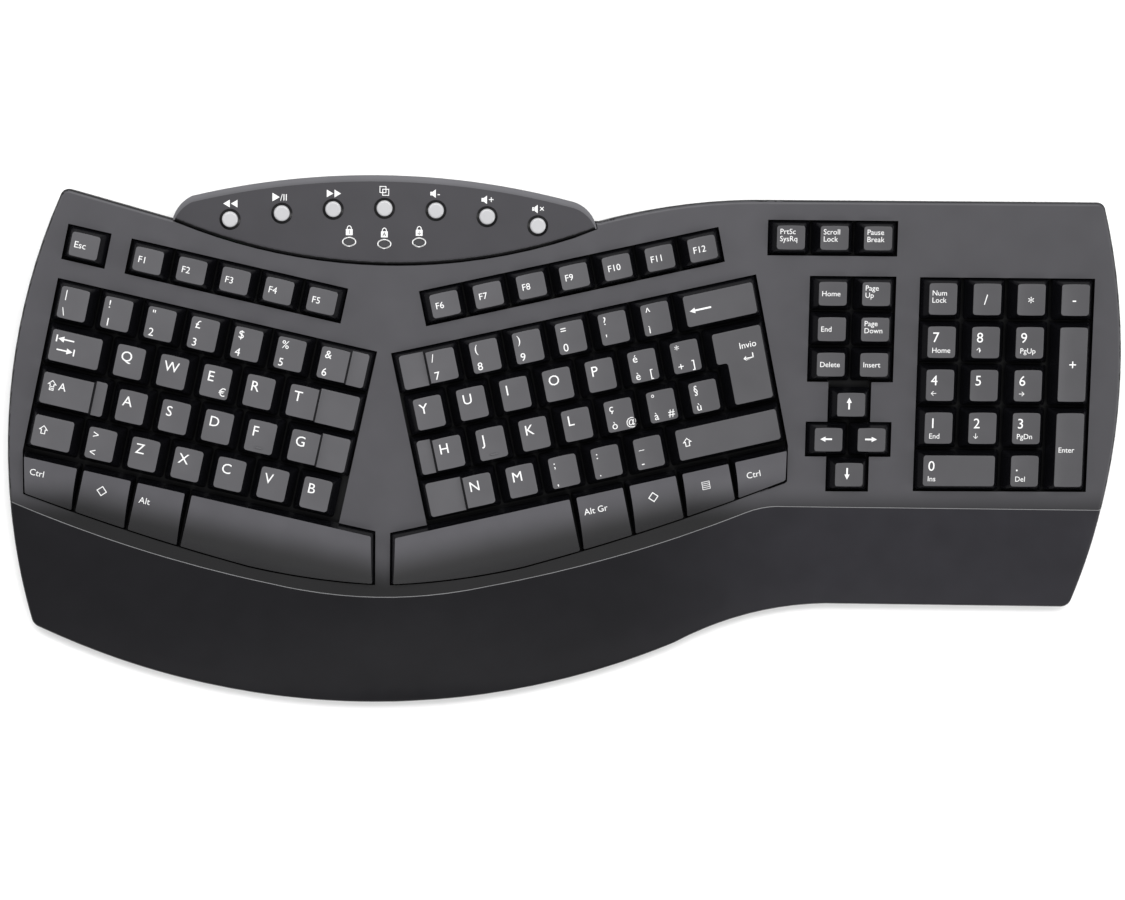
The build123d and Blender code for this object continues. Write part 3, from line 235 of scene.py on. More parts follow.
# this factor paints light and shade into the colour
def scaleTone(tree, tone, value, start, end, before, after):
    # tone times a factor that goes smoothly from before to after between two places, in mm
    span = tree.nodes.new("ShaderNodeMapRange")
    span.interpolation_type = "SMOOTHSTEP"
    span.inputs["From Min"].default_value = start * mm
    span.inputs["From Max"].default_value = end * mm
    span.inputs["To Min"].default_value = before
    span.inputs["To Max"].default_value = after
    scale = tree.nodes.new("ShaderNodeVectorMath")
    scale.operation = "SCALE"
    tree.links.new(value, span.inputs["Value"])
    tree.links.new(tone, scale.inputs[0])
    tree.links.new(span.outputs["Result"], scale.inputs["Scale"])
    return scale.outputs["Vector"]


def addMath(tree, operation, first, second):
    node = tree.nodes.new("ShaderNodeMath")
    node.operation = operation
    for socket, value in zip(node.inputs, (first, second)):
        if isinstance(value, (int, float)):
            socket.default_value = value
        else:
            tree.links.new(value, socket)
    return node.outputs["Value"]


def rowDepth(tree, coords):
    # place from rear to front along the turned rows, the same for both halves
    angle = math.radians(layout["turn"])
    widest = layout["fadeShare"] * layout["valley"] * mm
    mapping = tree.nodes.new("ShaderNodeMapping")
    mapping.inputs["Location"].default_value = (-layout["x"] * mm, -layout["y"] * mm, 0)
    split = tree.nodes.new("ShaderNodeSeparateXYZ")
    tree.links.new(coords.outputs["Object"], mapping.inputs["Vector"])
    tree.links.new(mapping.outputs["Vector"], split.inputs["Vector"])
    side = addMath(tree, "MINIMUM", addMath(tree, "ABSOLUTE", split.outputs["X"], 0.0), widest)
    sideways = addMath(tree, "MULTIPLY", side, math.sin(angle))
    forward = addMath(tree, "MULTIPLY", split.outputs["Y"], math.cos(angle))
    return addMath(tree, "SUBTRACT", forward, sideways)


def plasticFinish(name, paintedRowShading=None, paintedSideShading=None):
    colour, rough, grain, bump, mottle, gloss = finishes[name]
    material, tree, shader = newMaterial(name, colour, rough)
    shader.inputs["Specular IOR Level"].default_value = gloss
    coords = addGrain(tree, shader, grain, bump)
    tone = addMottle(tree, coords, colour, mottle)
    if paintedRowShading:
        tone = scaleTone(tree, tone, rowDepth(tree, coords), *paintedRowShading)
    if paintedSideShading:
        split = tree.nodes.new("ShaderNodeSeparateXYZ")
        tree.links.new(coords.outputs["Object"], split.inputs["Vector"])
        tone = scaleTone(tree, tone, split.outputs["X"], *paintedSideShading)
    tree.links.new(tone, shader.inputs["Base Color"])
    return material


def metalFinish(name):
    colour, rough, stretch = metals[name]
    material, tree, shader = newMaterial(name, colour, rough, 1.0)
    coords = addGrain(tree, shader, metalLook["grain"], metalLook["bump"], stretch)
    tree.links.new(addMottle(tree, coords, colour, metalLook["mottle"]), shader.inputs["Base Color"])
    return material


def ribbedFinish(name):
    # fine upright ribs round the side walls, in the darker case colour; on the deck's outer walls that colour
    # is painted shade
    colour, rough = finishes["casePlastic"][:2]
    material, tree, shader = newMaterial(name, colour, rough)
    coords = tree.nodes.new("ShaderNodeTexCoord")
    waves = tree.nodes.new("ShaderNodeTexWave")
    waves.bands_direction = "DIAGONAL"
    waves.inputs["Scale"].default_value = ribLook["scale"]
    flat = tree.nodes.new("ShaderNodeMapping")
    flat.inputs["Scale"].default_value = (1, 1, 0)
    bump = tree.nodes.new("ShaderNodeBump")
    bump.inputs["Strength"].default_value = ribLook["bump"]
    bump.inputs["Distance"].default_value = ribLook["depth"] * mm
    tree.links.new(coords.outputs["Object"], flat.inputs["Vector"])
    tree.links.new(flat.outputs["Vector"], waves.inputs["Vector"])
    tree.links.new(waves.outputs["Fac"], bump.inputs["Height"])
    tree.links.new(bump.outputs["Normal"], shader.inputs["Normal"])
    tree.links.new(addMottle(tree, coords, colour, ribLook["mottle"]), shader.inputs["Base Color"])
    return material


materials = {name: plasticFinish(name, **paintedShadeAndLight.get(name, {})) for name in finishes}
materials.update({name: metalFinish(name) for name in metals})
materials["ribbedSideShaded"] = ribbedFinish("ribbedSideShaded")
floor.data.materials.append(materials["floorPaper"])
print("finishes made")

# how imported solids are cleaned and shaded, in mm and degrees
meshLook = {"join": 0.002, "flat": 0.05, "smooth": 38}


def deselect():
    if bpy.context.object and bpy.context.object.mode != "OBJECT":
        bpy.ops.object.mode_set(mode="OBJECT")
    bpy.ops.object.select_all(action="DESELECT")


def makeActive(piece):
    deselect()
    piece.select_set(True)
    bpy.context.view_layer.objects.active = piece


def paint(piece, *names):
    piece.data.materials.clear()
    for name in names:
        piece.data.materials.append(materials[name])
    for face in piece.data.polygons:
        face.material_index = 0


def mergedCopy(node, name, flatten=True):
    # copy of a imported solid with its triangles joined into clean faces
    piece = nodes[node].copy()
    piece.data = nodes[node].data.copy()
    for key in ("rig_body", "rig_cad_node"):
        if key in piece:
            del piece[key]
    piece.parent = None
    piece.name = piece.data.name = name
    bpy.context.scene.collection.objects.link(piece)
    makeActive(piece)
    bpy.ops.mesh.customdata_custom_splitnormals_clear()
    bpy.ops.object.mode_set(mode="EDIT")
    bpy.ops.mesh.select_all(action="SELECT")
    bpy.ops.mesh.remove_doubles(threshold=meshLook["join"] * mm)
    if flatten:
        bpy.ops.mesh.dissolve_limited(angle_limit=math.radians(meshLook["flat"]))
    bpy.ops.mesh.select_all(action="DESELECT")
    return piece


def bevelEdges(piece, wanted, width, segments, clamp=True):
    # bevels the edges that wanted() picks
    bpy.ops.mesh.select_mode(type="EDGE")
    bpy.ops.mesh.select_all(action="DESELECT")
    mesh = bmesh.from_edit_mesh(piece.data)
    mesh.normal_update()
    for edge in [edge for edge in mesh.edges if len(edge.link_faces) == 2 and wanted(edge)]:
        edge.select_set(True)
    bmesh.update_edit_mesh(piece.data)
    if any(edge.select for edge in mesh.edges):
        bpy.ops.mesh.bevel(offset=width * mm, segments=segments, affect="EDGES", clamp_overlap=clamp)
    bpy.ops.mesh.select_all(action="DESELECT")


def finishPiece(piece, body, node, even=True):
    bpy.ops.object.mode_set(mode="OBJECT")
    makeActive(piece)
    bpy.ops.object.shade_smooth_by_angle(angle=math.radians(meshLook["smooth"]))
    if even:
        weighted = piece.modifiers.new("evenShading", "WEIGHTED_NORMAL")
        weighted.keep_sharp = True
        bpy.ops.object.modifier_apply(modifier=weighted.name)
    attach(piece, body)
    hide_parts(node)


# key caps: rounded corners and edges, in mm and degrees; one black plastic, with tops painted grey as lit
# over glossy skirts painted dark as shade
capLook = {
    "corner": 1.2, "barCorner": 0.6, "cornerSegments": 4, "edge": 0.22, "edgeSegments": 3, "dish": 0.5,
    "strips": 14, "stripRoom": 0.02, "join": 0.05, "sharp": 30, "uprightShare": 0.8, "flatNormal": 0.75,
    "steepNormal": 0.6, "topNormal": 0.8, "barTopNormal": 0.7,
}
capDepths = {  # under the key plane, as in the CAD
    "top": 0.6, "dished": 0.1, "cornerTop": 0.7, "ledge": 2.2, "ledgeRoom": 0.15, "rim": 2.6, "bar": 5.5,
    "painted": 6.0, "foot": 7.6, "footRoom": 0.2, "corner": 2.4,
}
leftHalf = ("esc", "function_keys_left", "number_keys_left", "tab", "top_letter_keys_left", "caps",
            "home_letter_keys_left", "left_shift", "lower_letter_keys_left", "left_ctrl", "left_os",
            "left_alt", "left_space")
blockKeys = ("system", "navigation", "up_arrow", "down_arrow", "left_arrow", "right_arrow", "numpad")
barKeys = ("left_ctrl_key", "left_os_key", "left_alt_key", "left_space_bar", "right_space_bar",
           "right_alt_key", "right_os_key", "menu_key", "right_ctrl_key")
keyEndings = ("_key", "_keys", "_keys_left", "_keys_right", "_bar")


def halfOf(node):
    if node.startswith(leftHalf):
        return "left"
    return "block" if node.startswith(blockKeys) else "right"


def topIslands(mesh, toPlane):
    # the dished tops of the separate caps: their spans along and across the row
    left, tops = set(mesh.verts), []
    while left:
        found, queue = set(), [left.pop()]
        while queue:
            vert = queue.pop()
            found.add(vert)
            for edge in vert.link_edges:
                other = edge.other_vert(vert)
                if other in left:
                    left.discard(other)
                    queue.append(other)
        top = [p for p in (toPlane @ vert.co for vert in found) if p.z > -capDepths["top"] * mm]
        if top and min(p.z for p in top) < -capDepths["dished"] * mm:
            across, deep = [p.x for p in top], [p.y for p in top]
            tops.append((min(across), max(across), min(deep), max(deep)))
    return tops


def flattenTops(piece, half):
    toPlane, back = planes[half].inverted(), planes[half]
    mesh = bmesh.from_edit_mesh(piece.data)
    tops = topIslands(mesh, toPlane)
    if tops:
        for vert in mesh.verts:
            place = toPlane @ vert.co
            if place.z > -capDepths["top"] * mm:
                vert.co = back @ Vector((place.x, place.y, 0))
        mesh.normal_update()
        bmesh.update_edit_mesh(piece.data)
        bpy.ops.mesh.select_all(action="SELECT")
        bpy.ops.mesh.dissolve_limited(angle_limit=math.radians(meshLook["flat"]))
        bpy.ops.mesh.select_all(action="DESELECT")
    return tops


def dishTops(piece, half, tops):
    # strips across the width, then each is lowered to its place in the dish
    toPlane, back = planes[half].inverted(), planes[half]
    room = capLook["stripRoom"] * mm
    mesh = bmesh.from_edit_mesh(piece.data)

    def onTop(vert, low, high, front, rear):
        place = toPlane @ vert.co
        level = place.z > -room / 2
        return level and low - room < place.x < high + room and front - room < place.y < rear + room

    for top in tops:
        low, high, front, rear = top
        for strip in range(1, capLook["strips"]):
            faces = [face for face in mesh.faces if all(onTop(vert, *top) for vert in face.verts)]
            edges = {edge for face in faces for edge in face.edges}
            verts = {vert for face in faces for vert in face.verts}
            cut = back @ Vector((low + (high - low) * strip / capLook["strips"], front, 0))
            bmesh.ops.bisect_plane(mesh, geom=[*faces, *edges, *verts], plane_co=cut,
                                   plane_no=back.to_3x3().col[0], dist=room)
        for vert in mesh.verts:
            if onTop(vert, *top):
                place = toPlane @ vert.co
                share = (2 * place.x - low - high) / (high - low)
                vert.co = back @ Vector((place.x, place.y, -capLook["dish"] * mm * (1 - share * share)))
    mesh.normal_update()
    bmesh.update_edit_mesh(piece.data)


def roundedCaps(node):
    half = halfOf(node)
    toPlane = planes[half].inverted()
    up = planes[half].to_3x3().col[2]
    isBar = node in barKeys
    piece = mergedCopy(node, node + "Caps")

    def isCorner(edge):
        low, high = sorted((toPlane @ v.co for v in edge.verts), key=lambda p: p.z)
        tall = high.z - low.z > capDepths["corner"] * mm
        upright = high.z - low.z > capLook["uprightShare"] * (high - low).length
        onLedge = abs(high.z + capDepths["ledge"] * mm) < capDepths["ledgeRoom"] * mm
        outer = high.z > -capDepths["bar" if isBar else "cornerTop"] * mm or onLedge
        toFoot = abs(low.z + capDepths["foot"] * mm) < capDepths["footRoom"] * mm
        sharp = edge.calc_face_angle(0) > math.radians(capLook["sharp"])
        return tall and upright and outer and toFoot and sharp

    def isRim(edge):
        level = [face.normal.dot(up) for face in edge.link_faces]
        high = min((toPlane @ v.co).z for v in edge.verts) > -capDepths["bar" if isBar else "rim"] * mm
        return high and max(level) > capLook["flatNormal"] and min(level) < capLook["steepNormal"]

    tops = [] if isBar else flattenTops(piece, half)
    corner = capLook["barCorner" if isBar else "corner"]
    bevelEdges(piece, isCorner, corner, capLook["cornerSegments"], clamp=False)
    dishTops(piece, half, tops)
    bpy.ops.mesh.select_all(action="SELECT")
    bpy.ops.mesh.remove_doubles(threshold=capLook["join"] * mm)
    bpy.ops.mesh.select_all(action="DESELECT")
    bevelEdges(piece, isRim, capLook["edge"], capLook["edgeSegments"], clamp=isBar)
    bpy.ops.object.mode_set(mode="OBJECT")
    # painted light: faces turned up get the lit top colour, all others the shaded skirt colour
    paint(piece, "shadedKeySkirt", "litBarTop" if isBar else "litKeyTop")
    limit = capLook["barTopNormal" if isBar else "topNormal"]
    for face in piece.data.polygons:
        if face.normal.dot(up) > limit and (toPlane @ face.center).z > -capDepths["painted"] * mm:
            face.material_index = 1
    finishPiece(piece, node, node)
    return piece


caps = {node: roundedCaps(node) for node in frame["bodies"] if node.endswith(keyEndings)}
print("caps rounded:", len(caps))

# deck: wells with softened rims and a narrow chamfer at the rear, in mm and degrees; the well walls and the
# chamfer are painted dark as shade
deckLook = {
    "corner": 1.6, "cornerSegments": 4, "cornerHeight": 1.2, "cornerSharp": 40, "wellTop": 5.5,
    "wellRoom": 0.8, "rim": 0.35, "rimSegments": 2, "rimSharp": 60, "rearBand": 1.6, "lowest": 10,
    "rayOut": 0.2, "rayDown": 0.5, "paintOut": 0.1, "uprightEdge": 0.98, "cornerWall": 0.3, "rimWall": 0.25,
    "rearWall": 0.2, "rearward": 0.3, "level": 0.9, "topNormal": 0.8, "undersideNormal": 0.5,
}


def roundedDeck():
    piece = mergedCopy("top_deck", "topDeck")
    toPlanes = [plane.inverted() for plane in planes.values()]
    tree = BVHTree.FromBMesh(bmesh.from_edit_mesh(piece.data))

    def isHigh(edge):
        return min(v.co.z for v in edge.verts) > deckLook["lowest"] * mm

    def isWellCorner(edge):
        way = edge.verts[0].co - edge.verts[1].co
        tall = way.length >= deckLook["cornerHeight"] * mm
        upright = abs(way.normalized().z) >= deckLook["uprightEdge"]
        walls = all(abs(face.normal.z) <= deckLook["cornerWall"] for face in edge.link_faces)
        sharp = edge.calc_face_angle(0) >= math.radians(deckLook["cornerSharp"])
        if not (tall and upright and walls and sharp and edge.calc_face_angle_signed(0) <= 0):
            return False
        tops = [max((toPlane @ v.co).z for v in edge.verts) for toPlane in toPlanes]
        return any(abs(top + deckLook["wellTop"] * mm) < deckLook["wellRoom"] * mm for top in tops)

    def isRearEdge(edge):
        wall, top = sorted(edge.link_faces, key=lambda face: face.normal.z)
        outer = abs(wall.normal.z) < deckLook["rearWall"] and wall.normal.y > deckLook["rearward"]
        start = (edge.verts[0].co + edge.verts[1].co) / 2 + wall.normal * deckLook["rayOut"] * mm
        start -= Vector((0, 0, deckLook["rayDown"] * mm))
        level = top.normal.z > deckLook["level"]
        return outer and level and isHigh(edge) and not tree.ray_cast(start, wall.normal)[0]

    def isWellRim(edge):
        wall, top = sorted(face.normal.z for face in edge.link_faces)
        upright = abs(wall) < deckLook["rimWall"] and top > deckLook["level"]
        return upright and edge.calc_face_angle(0) > math.radians(deckLook["rimSharp"]) and isHigh(edge)

    bevelEdges(piece, isRearEdge, deckLook["rearBand"], 1)
    bevelEdges(piece, isWellCorner, deckLook["corner"], deckLook["cornerSegments"])
    bevelEdges(piece, isWellRim, deckLook["rim"], deckLook["rimSegments"])
    bpy.ops.object.mode_set(mode="OBJECT")
    paint(piece, "deckPlastic", "paintedShadeAndDarkPrint", "ribbedSideShaded")
    # painted shade: walls facing another wall, as in the wells, and slanted faces such as the rear chamfer
    # are painted dark; outer walls get the ribbed finish, painted darker than the top
    for face in piece.data.polygons:
        if face.normal.z < deckLook["topNormal"]:
            # a wall that faces no other wall is an outer side
            facing = piece.ray_cast(face.center + face.normal * deckLook["paintOut"] * mm, face.normal)[0]
            slanted = abs(face.normal.z) > deckLook["undersideNormal"]
            face.material_index = 1 if facing or slanted else 2
    finishPiece(piece, "housing", "top_deck")
    return piece


deck = roundedDeck()
print("deck made, faces:", len(deck.data.polygons))

# palm rest, with a thin light line where it meets the deck, a painted highlight on the edge of the seam
palmLook = {"line": 0.22, "wallNormal": 0.25, "rearward": 0.5, "topNormal": 0.85, "lowest": 8}


def isPalmSeam(edge):
    walls = [face for face in edge.link_faces
             if abs(face.normal.z) < palmLook["wallNormal"] and face.normal.y > palmLook["rearward"]]
    tops = [face for face in edge.link_faces if face.normal.z > palmLook["topNormal"]]
    return len(walls) == 1 and len(tops) == 1 and min(v.co.z for v in edge.verts) > palmLook["lowest"] * mm


palm = mergedCopy("palm_rest", "palmRest", flatten=False)
bpy.ops.mesh.select_mode(type="EDGE")
palmMesh = bmesh.from_edit_mesh(palm.data)
for edge in palmMesh.edges:
    edge.select_set(isPalmSeam(edge))
bmesh.update_edit_mesh(palm.data)
if any(edge.select for edge in palmMesh.edges):
    bpy.ops.mesh.duplicate()
    bpy.ops.mesh.separate(type="SELECTED")
bpy.ops.object.mode_set(mode="OBJECT")
seamHighlight = next((piece for piece in bpy.context.selected_objects if piece is not palm), None)
# the seam line is a light tube, a painted highlight
if seamHighlight:
    makeActive(seamHighlight)
    bpy.ops.object.convert(target="CURVE")
    seamHighlight = bpy.context.object
    seamHighlight.data.bevel_depth = palmLook["line"] * mm
    seamHighlight.data.bevel_resolution = 1
    seamHighlight.data.use_fill_caps = True
    bpy.ops.object.convert(target="MESH")
    seamHighlight = bpy.context.object
    seamHighlight.name = seamHighlight.data.name = "palmSeamHighlightLine"
    paint(seamHighlight, "palmSeamHighlight")
    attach(seamHighlight, "housing")
makeActive(palm)
# the palm rest's colour grows lighter towards the right as painted light
paint(palm, "palmPlastic")
finishPiece(palm, "housing", "palm_rest", even=False)
print("palm rest made, seam line:", bool(seamHighlight))

# media panel: the lowered rear rim is lighter; its walls, with the small wall and the front groove, are
# painted dark as shade
panelLook = {
    "height": 40.6, "radius": 760, "rise": 1.5, "x": -0.9525, "y": 22.29, "topNormal": 0.9, "rimDrop": 0.6,
    "ring": (4.55, 4.55, 1.1), "lens": (3.0, 2.1, 0.45), "ringCorners": 40,
}
buttonShares = {
    "rewind_button": (-3.554, 2.147), "play_button": (-2.394, 2.294), "forward_button": (-1.244, 2.394),
    "media_button": (-0.094, 2.425), "volume_down_button": (1.060, 2.388), "volume_up_button": (2.215, 2.262),
    "mute_button": (3.365, 2.068),
}
lensShares = ((-0.882, 1.669), (-0.094, 1.627), (0.688, 1.669))


def panelHeight(x, y):
    fall = panelLook["radius"] - math.sqrt(panelLook["radius"] ** 2 - (x - panelLook["x"]) ** 2)
    return panelLook["height"] - fall + math.tan(math.radians(panelLook["rise"])) * (y - panelLook["y"])


def onPanel(share, dx=0.0, dy=0.0):
    x, y = share[0] * layout["pitch"] + dx, share[1] * layout["pitch"] + dy
    return Vector((layout["x"] + x, layout["y"] + y, panelHeight(x, y))) * mm


panel = mergedCopy("media_panel", "mediaPanel")
bpy.ops.object.mode_set(mode="OBJECT")
paint(panel, "paintedShadeAndDarkPrint", "panelPlastic", "panelRim")
# painted shade: every wall of the panel, as in the groove, keeps the dark colour
for face in panel.data.polygons:
    if face.normal.z > panelLook["topNormal"]:
        x, y = face.center.x / mm - layout["x"], face.center.y / mm - layout["y"]
        lowered = panelHeight(x, y) - face.center.z / mm > panelLook["rimDrop"]
        face.material_index = 2 if lowered else 1
finishPiece(panel, "housing", "media_panel")
print("media panel made")

buttonLook = {"round": 1.3, "segments": 6, "sharp": 50, "lowest": 35}


def isButtonRim(edge):
    sharp = edge.calc_face_angle(0) > math.radians(buttonLook["sharp"])
    return sharp and min(v.co.z for v in edge.verts) > buttonLook["lowest"] * mm


for node in buttonShares:
    button = mergedCopy(node, node + "Dome")
    bevelEdges(button, isButtonRim, buttonLook["round"], buttonLook["segments"])
    bpy.ops.object.mode_set(mode="OBJECT")
    paint(button, "buttonCap")
    finishPiece(button, node, node)
print("buttons made")

# prints: flat shapes start above the surface and are laid on it, in mm
printLook = {"above": 1.0, "lift": 0.06, "darkLift": 0.12, "thick": 0.09}


def joined(pieces, name):
    deselect()
    for piece in pieces:
        piece.select_set(True)
    bpy.context.view_layer.objects.active = pieces[0]
    if len(pieces) > 1:
        bpy.ops.object.join()
    piece = bpy.context.object
    piece.name = piece.data.name = name
    return piece


def copies(piece, count):
    # the piece itself and copies of it, each with its own mesh
    pieces = [piece]
    while len(pieces) < count:
        makeActive(piece)
        bpy.ops.object.duplicate()
        pieces.append(bpy.context.object)
    return pieces


def printOn(pieces, name, target, body, material, lift=printLook["lift"]):
    # lays flat shapes on the surface under them and gives them the thickness of a print
    piece = joined(pieces, name)
    bpy.ops.object.transform_apply(location=True, rotation=True, scale=True)
    wrap = piece.modifiers.new("layOn", "SHRINKWRAP")
    wrap.target = target
    wrap.wrap_method = "PROJECT"
    wrap.use_project_z = True
    wrap.use_negative_direction = True
    wrap.use_positive_direction = False
    wrap.offset = lift * mm
    bpy.ops.object.modifier_apply(modifier=wrap.name)
    layer = piece.modifiers.new("printDepth", "SOLIDIFY")
    layer.thickness = printLook["thick"] * mm
    layer.offset = -1
    bpy.ops.object.modifier_apply(modifier=layer.name)
    paint(piece, material)
    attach(piece, body)


def ringsAt(places, wide, deep, band):
    deselect()
    bpy.ops.mesh.primitive_circle_add(vertices=panelLook["ringCorners"], radius=1, fill_type="NGON",
                                      location=(0, 0, 0))
    ring = bpy.context.object
    ring.scale = (wide * mm, deep * mm, 1)
    bpy.ops.object.transform_apply(scale=True)
    bpy.ops.object.mode_set(mode="EDIT")
    bpy.ops.mesh.select_all(action="SELECT")
    bpy.ops.mesh.inset(thickness=band * mm, depth=0)
    bpy.ops.mesh.delete(type="FACE")
    bpy.ops.object.mode_set(mode="OBJECT")
    rings = copies(ring, len(places))
    for ring, place in zip(rings, places):
        ring.location = place + Vector((0, 0, printLook["above"])) * mm
    return rings


rings = ringsAt([onPanel(share) for share in buttonShares.values()], *panelLook["ring"])
printOn(rings, "buttonRings", panel, "housing", "paintedShadeAndDarkPrint")
ovals = ringsAt([onPanel(share) for share in lensShares], *panelLook["lens"])
printOn(ovals, "indicatorOutlines", panel, "housing", "legendInk")
print("rings made")

# legends: heights of the signs and their places from the middle of a key, in mm
legendLook = {
    "letter": 6.3, "pair": 4.9, "small": 3.3, "function": 4.0, "lineGap": 0.95, "curve": 3,
    "letterAt": (-4.1, 0.1), "highAt": (-4.3, 2.2), "lowAt": (-4.3, -5.6), "thirdAt": (2.0, -5.4),
    "shiftAt": (-4.2, -1.0), "functionAt": (-4.4, -1.3), "oneLineAt": (-4.9, -1.0), "twoLinesAt": (-4.9, 1.6),
    "padWordAt": (-4.2, -4.6),
}
arrowShapes = {  # length, size of the head, width of the bar, whether a stop stands before the tip
    "tab": (7.0, 2.6, 0.6, True), "back": (9.6, 2.4, 0.75, False), "block": (5.2, 2.3, 0.75, False),
}
leftward = (0, 0, math.radians(90))  # turn of a triangle that then points left


def addText(body, plane, x, y, size, align="LEFT", stretch=1.0):
    bpy.ops.object.text_add(location=(0, 0, 0))
    words = bpy.context.object
    words.data.body = body
    words.data.size = size * mm
    words.data.align_x = align
    words.data.space_line = legendLook["lineGap"]
    words.data.resolution_u = legendLook["curve"]
    bpy.ops.object.convert(target="MESH")
    words = bpy.context.object
    place = Matrix.Translation(Vector((x, y, printLook["above"])) * mm)
    words.matrix_world = plane @ place @ Matrix.Diagonal((stretch, 1, 1, 1))
    return words


def addArrow(plane, x, y, long, head, bar, stop, turned):
    # arrow that points left along the row unless turned, its tip at x, y
    deselect()
    bpy.ops.mesh.primitive_circle_add(vertices=3, radius=1, fill_type="NGON", rotation=leftward)
    tip = bpy.context.object
    tip.scale = (head / math.sqrt(3) * mm, head / 1.5 * mm, 1)
    tip.location = (head / 1.5 * mm, 0, 0)
    parts = [tip]
    bars = [(long / 2 + head / 2, 0, long - head, bar)]
    if stop:
        bars.append((-bar, 0, bar, head * 1.15))
    for middle, across, wide, deep in bars:
        bpy.ops.mesh.primitive_plane_add(size=1, location=(middle * mm, across * mm, 0))
        bpy.context.object.scale = (wide * mm, deep * mm, 1)
        parts.append(bpy.context.object)
    arrow = joined(parts, "arrow")
    bpy.ops.object.transform_apply(location=True, rotation=True, scale=True)
    place = Matrix.Translation(Vector((x, y, printLook["above"])) * mm)
    arrow.matrix_world = plane @ place @ Matrix.Rotation(math.radians(turned), 4, "Z")
    return arrow


def sign(words, size, at, *stretch):
    return (words, *(legendLook[at] if isinstance(at, str) else at), size, *stretch)


def letter(words):
    return [sign(words, "letter", "letterAt")]


def pair(low, high, extra=None):
    third = [sign(extra, "pair", "thirdAt")] if extra else []
    return [sign(high, "pair", "highAt"), sign(low, "pair", "lowAt")] + third


def small(words):
    return [sign(words, "small", "twoLinesAt" if "\n" in words else "oneLineAt")]


def function(number):
    return [sign("F%d" % number, "function", "functionAt")]


def digit(words, under):
    return [sign(words, "letter", "letterAt"), sign(under, "small", "padWordAt")]


rowsOfLegends = [  # node, half, row, first place, the signs of each key
    ("esc_key", "left", "function", -0.015, [[sign("Esc", "function", (-4.6, -1.3))]]),
    ("function_keys_left", "left", "function", 1.446, [function(number) for number in range(1, 6)]),
    ("function_keys_right", "right", "function", 7.342, [function(number) for number in range(6, 13)]),
    ("number_keys_left", "left", "number", 0,
     [pair("\\", "|"), pair("1", "!"), pair("2", "\""), pair("3", "£"), pair("4", "$"), pair("5", "%"),
      pair("6", "&")]),
    ("number_keys_right", "right", "number", 7,
     [pair("7", "/"), pair("8", "("), pair("9", ")"), pair("0", "="), pair("'", "?"), pair("ì", "^")]),
    ("top_letter_keys_left", "left", "upper", 1.5,
     [letter("Q"), letter("W"), letter("E") + [sign("€", "pair", "thirdAt")], letter("R"), letter("T")]),
    ("top_letter_keys_right", "right", "upper", 6.5,
     [letter(name) for name in "YUIOP"] + [pair("è", "é", "["), pair("+", "*", "]")]),
    ("home_letter_keys_left", "left", "home", 1.75, [letter(name) for name in "ASDFG"]),
    ("home_letter_keys_right", "right", "home", 6.75,
     [letter(name) for name in "HJKL"] + [pair("ò", "ç", "@"), pair("à", "°", "#"), pair("ù", "§")]),
    ("lower_letter_keys_left", "left", "lower", 1.25, [pair("<", ">")] + [letter(name) for name in "ZXCVB"]),
    ("lower_letter_keys_right", "right", "lower", 7.25,
     [letter("N"), letter("M"), pair(",", ";"), pair(".", ":"), pair("-", "_")]),
    ("caps_lock_key", "left", "home", 0, [[sign("⇪", "pair", (-4.4, 0.2)), sign("A", "pair", (1.0, 0.2))]]),
    ("left_shift_key", "left", "lower", 0, [[sign("⇧", "pair", "shiftAt")]]),
    ("right_shift_key", "right", "lower", 12.25, [[sign("⇧", "pair", "shiftAt")]]),
    ("enter_key", "right", "upper", 14,
     [[sign("Invio", "function", (-4.8, -1.9)), sign("↵", "pair", (-4.4, -8.0), 1.2)]]),
]
blockLegends = [  # node, column, row or the two rows between which the key lies, signs
    ("system_keys", "system1", ["system"], small("PrtSc\nSysRq")),
    ("system_keys", "system2", ["system"], small("Scroll\nLock")),
    ("system_keys", "system3", ["system"], small("Pause\nBreak")),
    ("navigation_keys", "navLeft", ["nav1"], small("Home")),
    ("navigation_keys", "navRight", ["nav1"], small("Page\nUp")),
    ("navigation_keys", "navLeft", ["nav2"], small("End")),
    ("navigation_keys", "navRight", ["nav2"], small("Page\nDown")),
    ("navigation_keys", "navLeft", ["nav3"], small("Delete")),
    ("navigation_keys", "navRight", ["nav3"], small("Insert")),
    ("numpad_top_keys", "pad1", ["pad1"], small("Num\nLock")),
    ("numpad_top_keys", "pad2", ["pad1"], [sign("/", "letter", (-1.4, -2.2))]),
    ("numpad_top_keys", "pad3", ["pad1"], [sign("*", "letter", (-1.4, -3.2))]),
    ("numpad_top_keys", "pad4", ["pad1"], [sign("-", "letter", (-1.4, -1.8))]),
    ("numpad_plus_key", "pad4", ["pad2", "pad3"], [sign("+", "letter", (-1.8, -2.2))]),
    ("numpad_enter_key", "pad4", ["pad4", "pad5"], small("Enter")),
    ("numpad_digit_keys", "pad1", ["pad2"], digit("7", "Home")),
    ("numpad_digit_keys", "pad2", ["pad2"], digit("8", "↑")),
    ("numpad_digit_keys", "pad3", ["pad2"], digit("9", "PgUp")),
    ("numpad_digit_keys", "pad1", ["pad3"], digit("4", "←")),
    ("numpad_digit_keys", "pad2", ["pad3"], letter("5")),
    ("numpad_digit_keys", "pad3", ["pad3"], digit("6", "→")),
    ("numpad_digit_keys", "pad1", ["pad4"], digit("1", "End")),
    ("numpad_digit_keys", "pad2", ["pad4"], digit("2", "↓")),
    ("numpad_digit_keys", "pad3", ["pad4"], digit("3", "PgDn")),
    ("numpad_digit_keys", "pad3", ["pad5"], digit(".", "Del")),
    ("numpad_zero_key", "pad1", ["pad5"], digit("0", "Ins")),
]
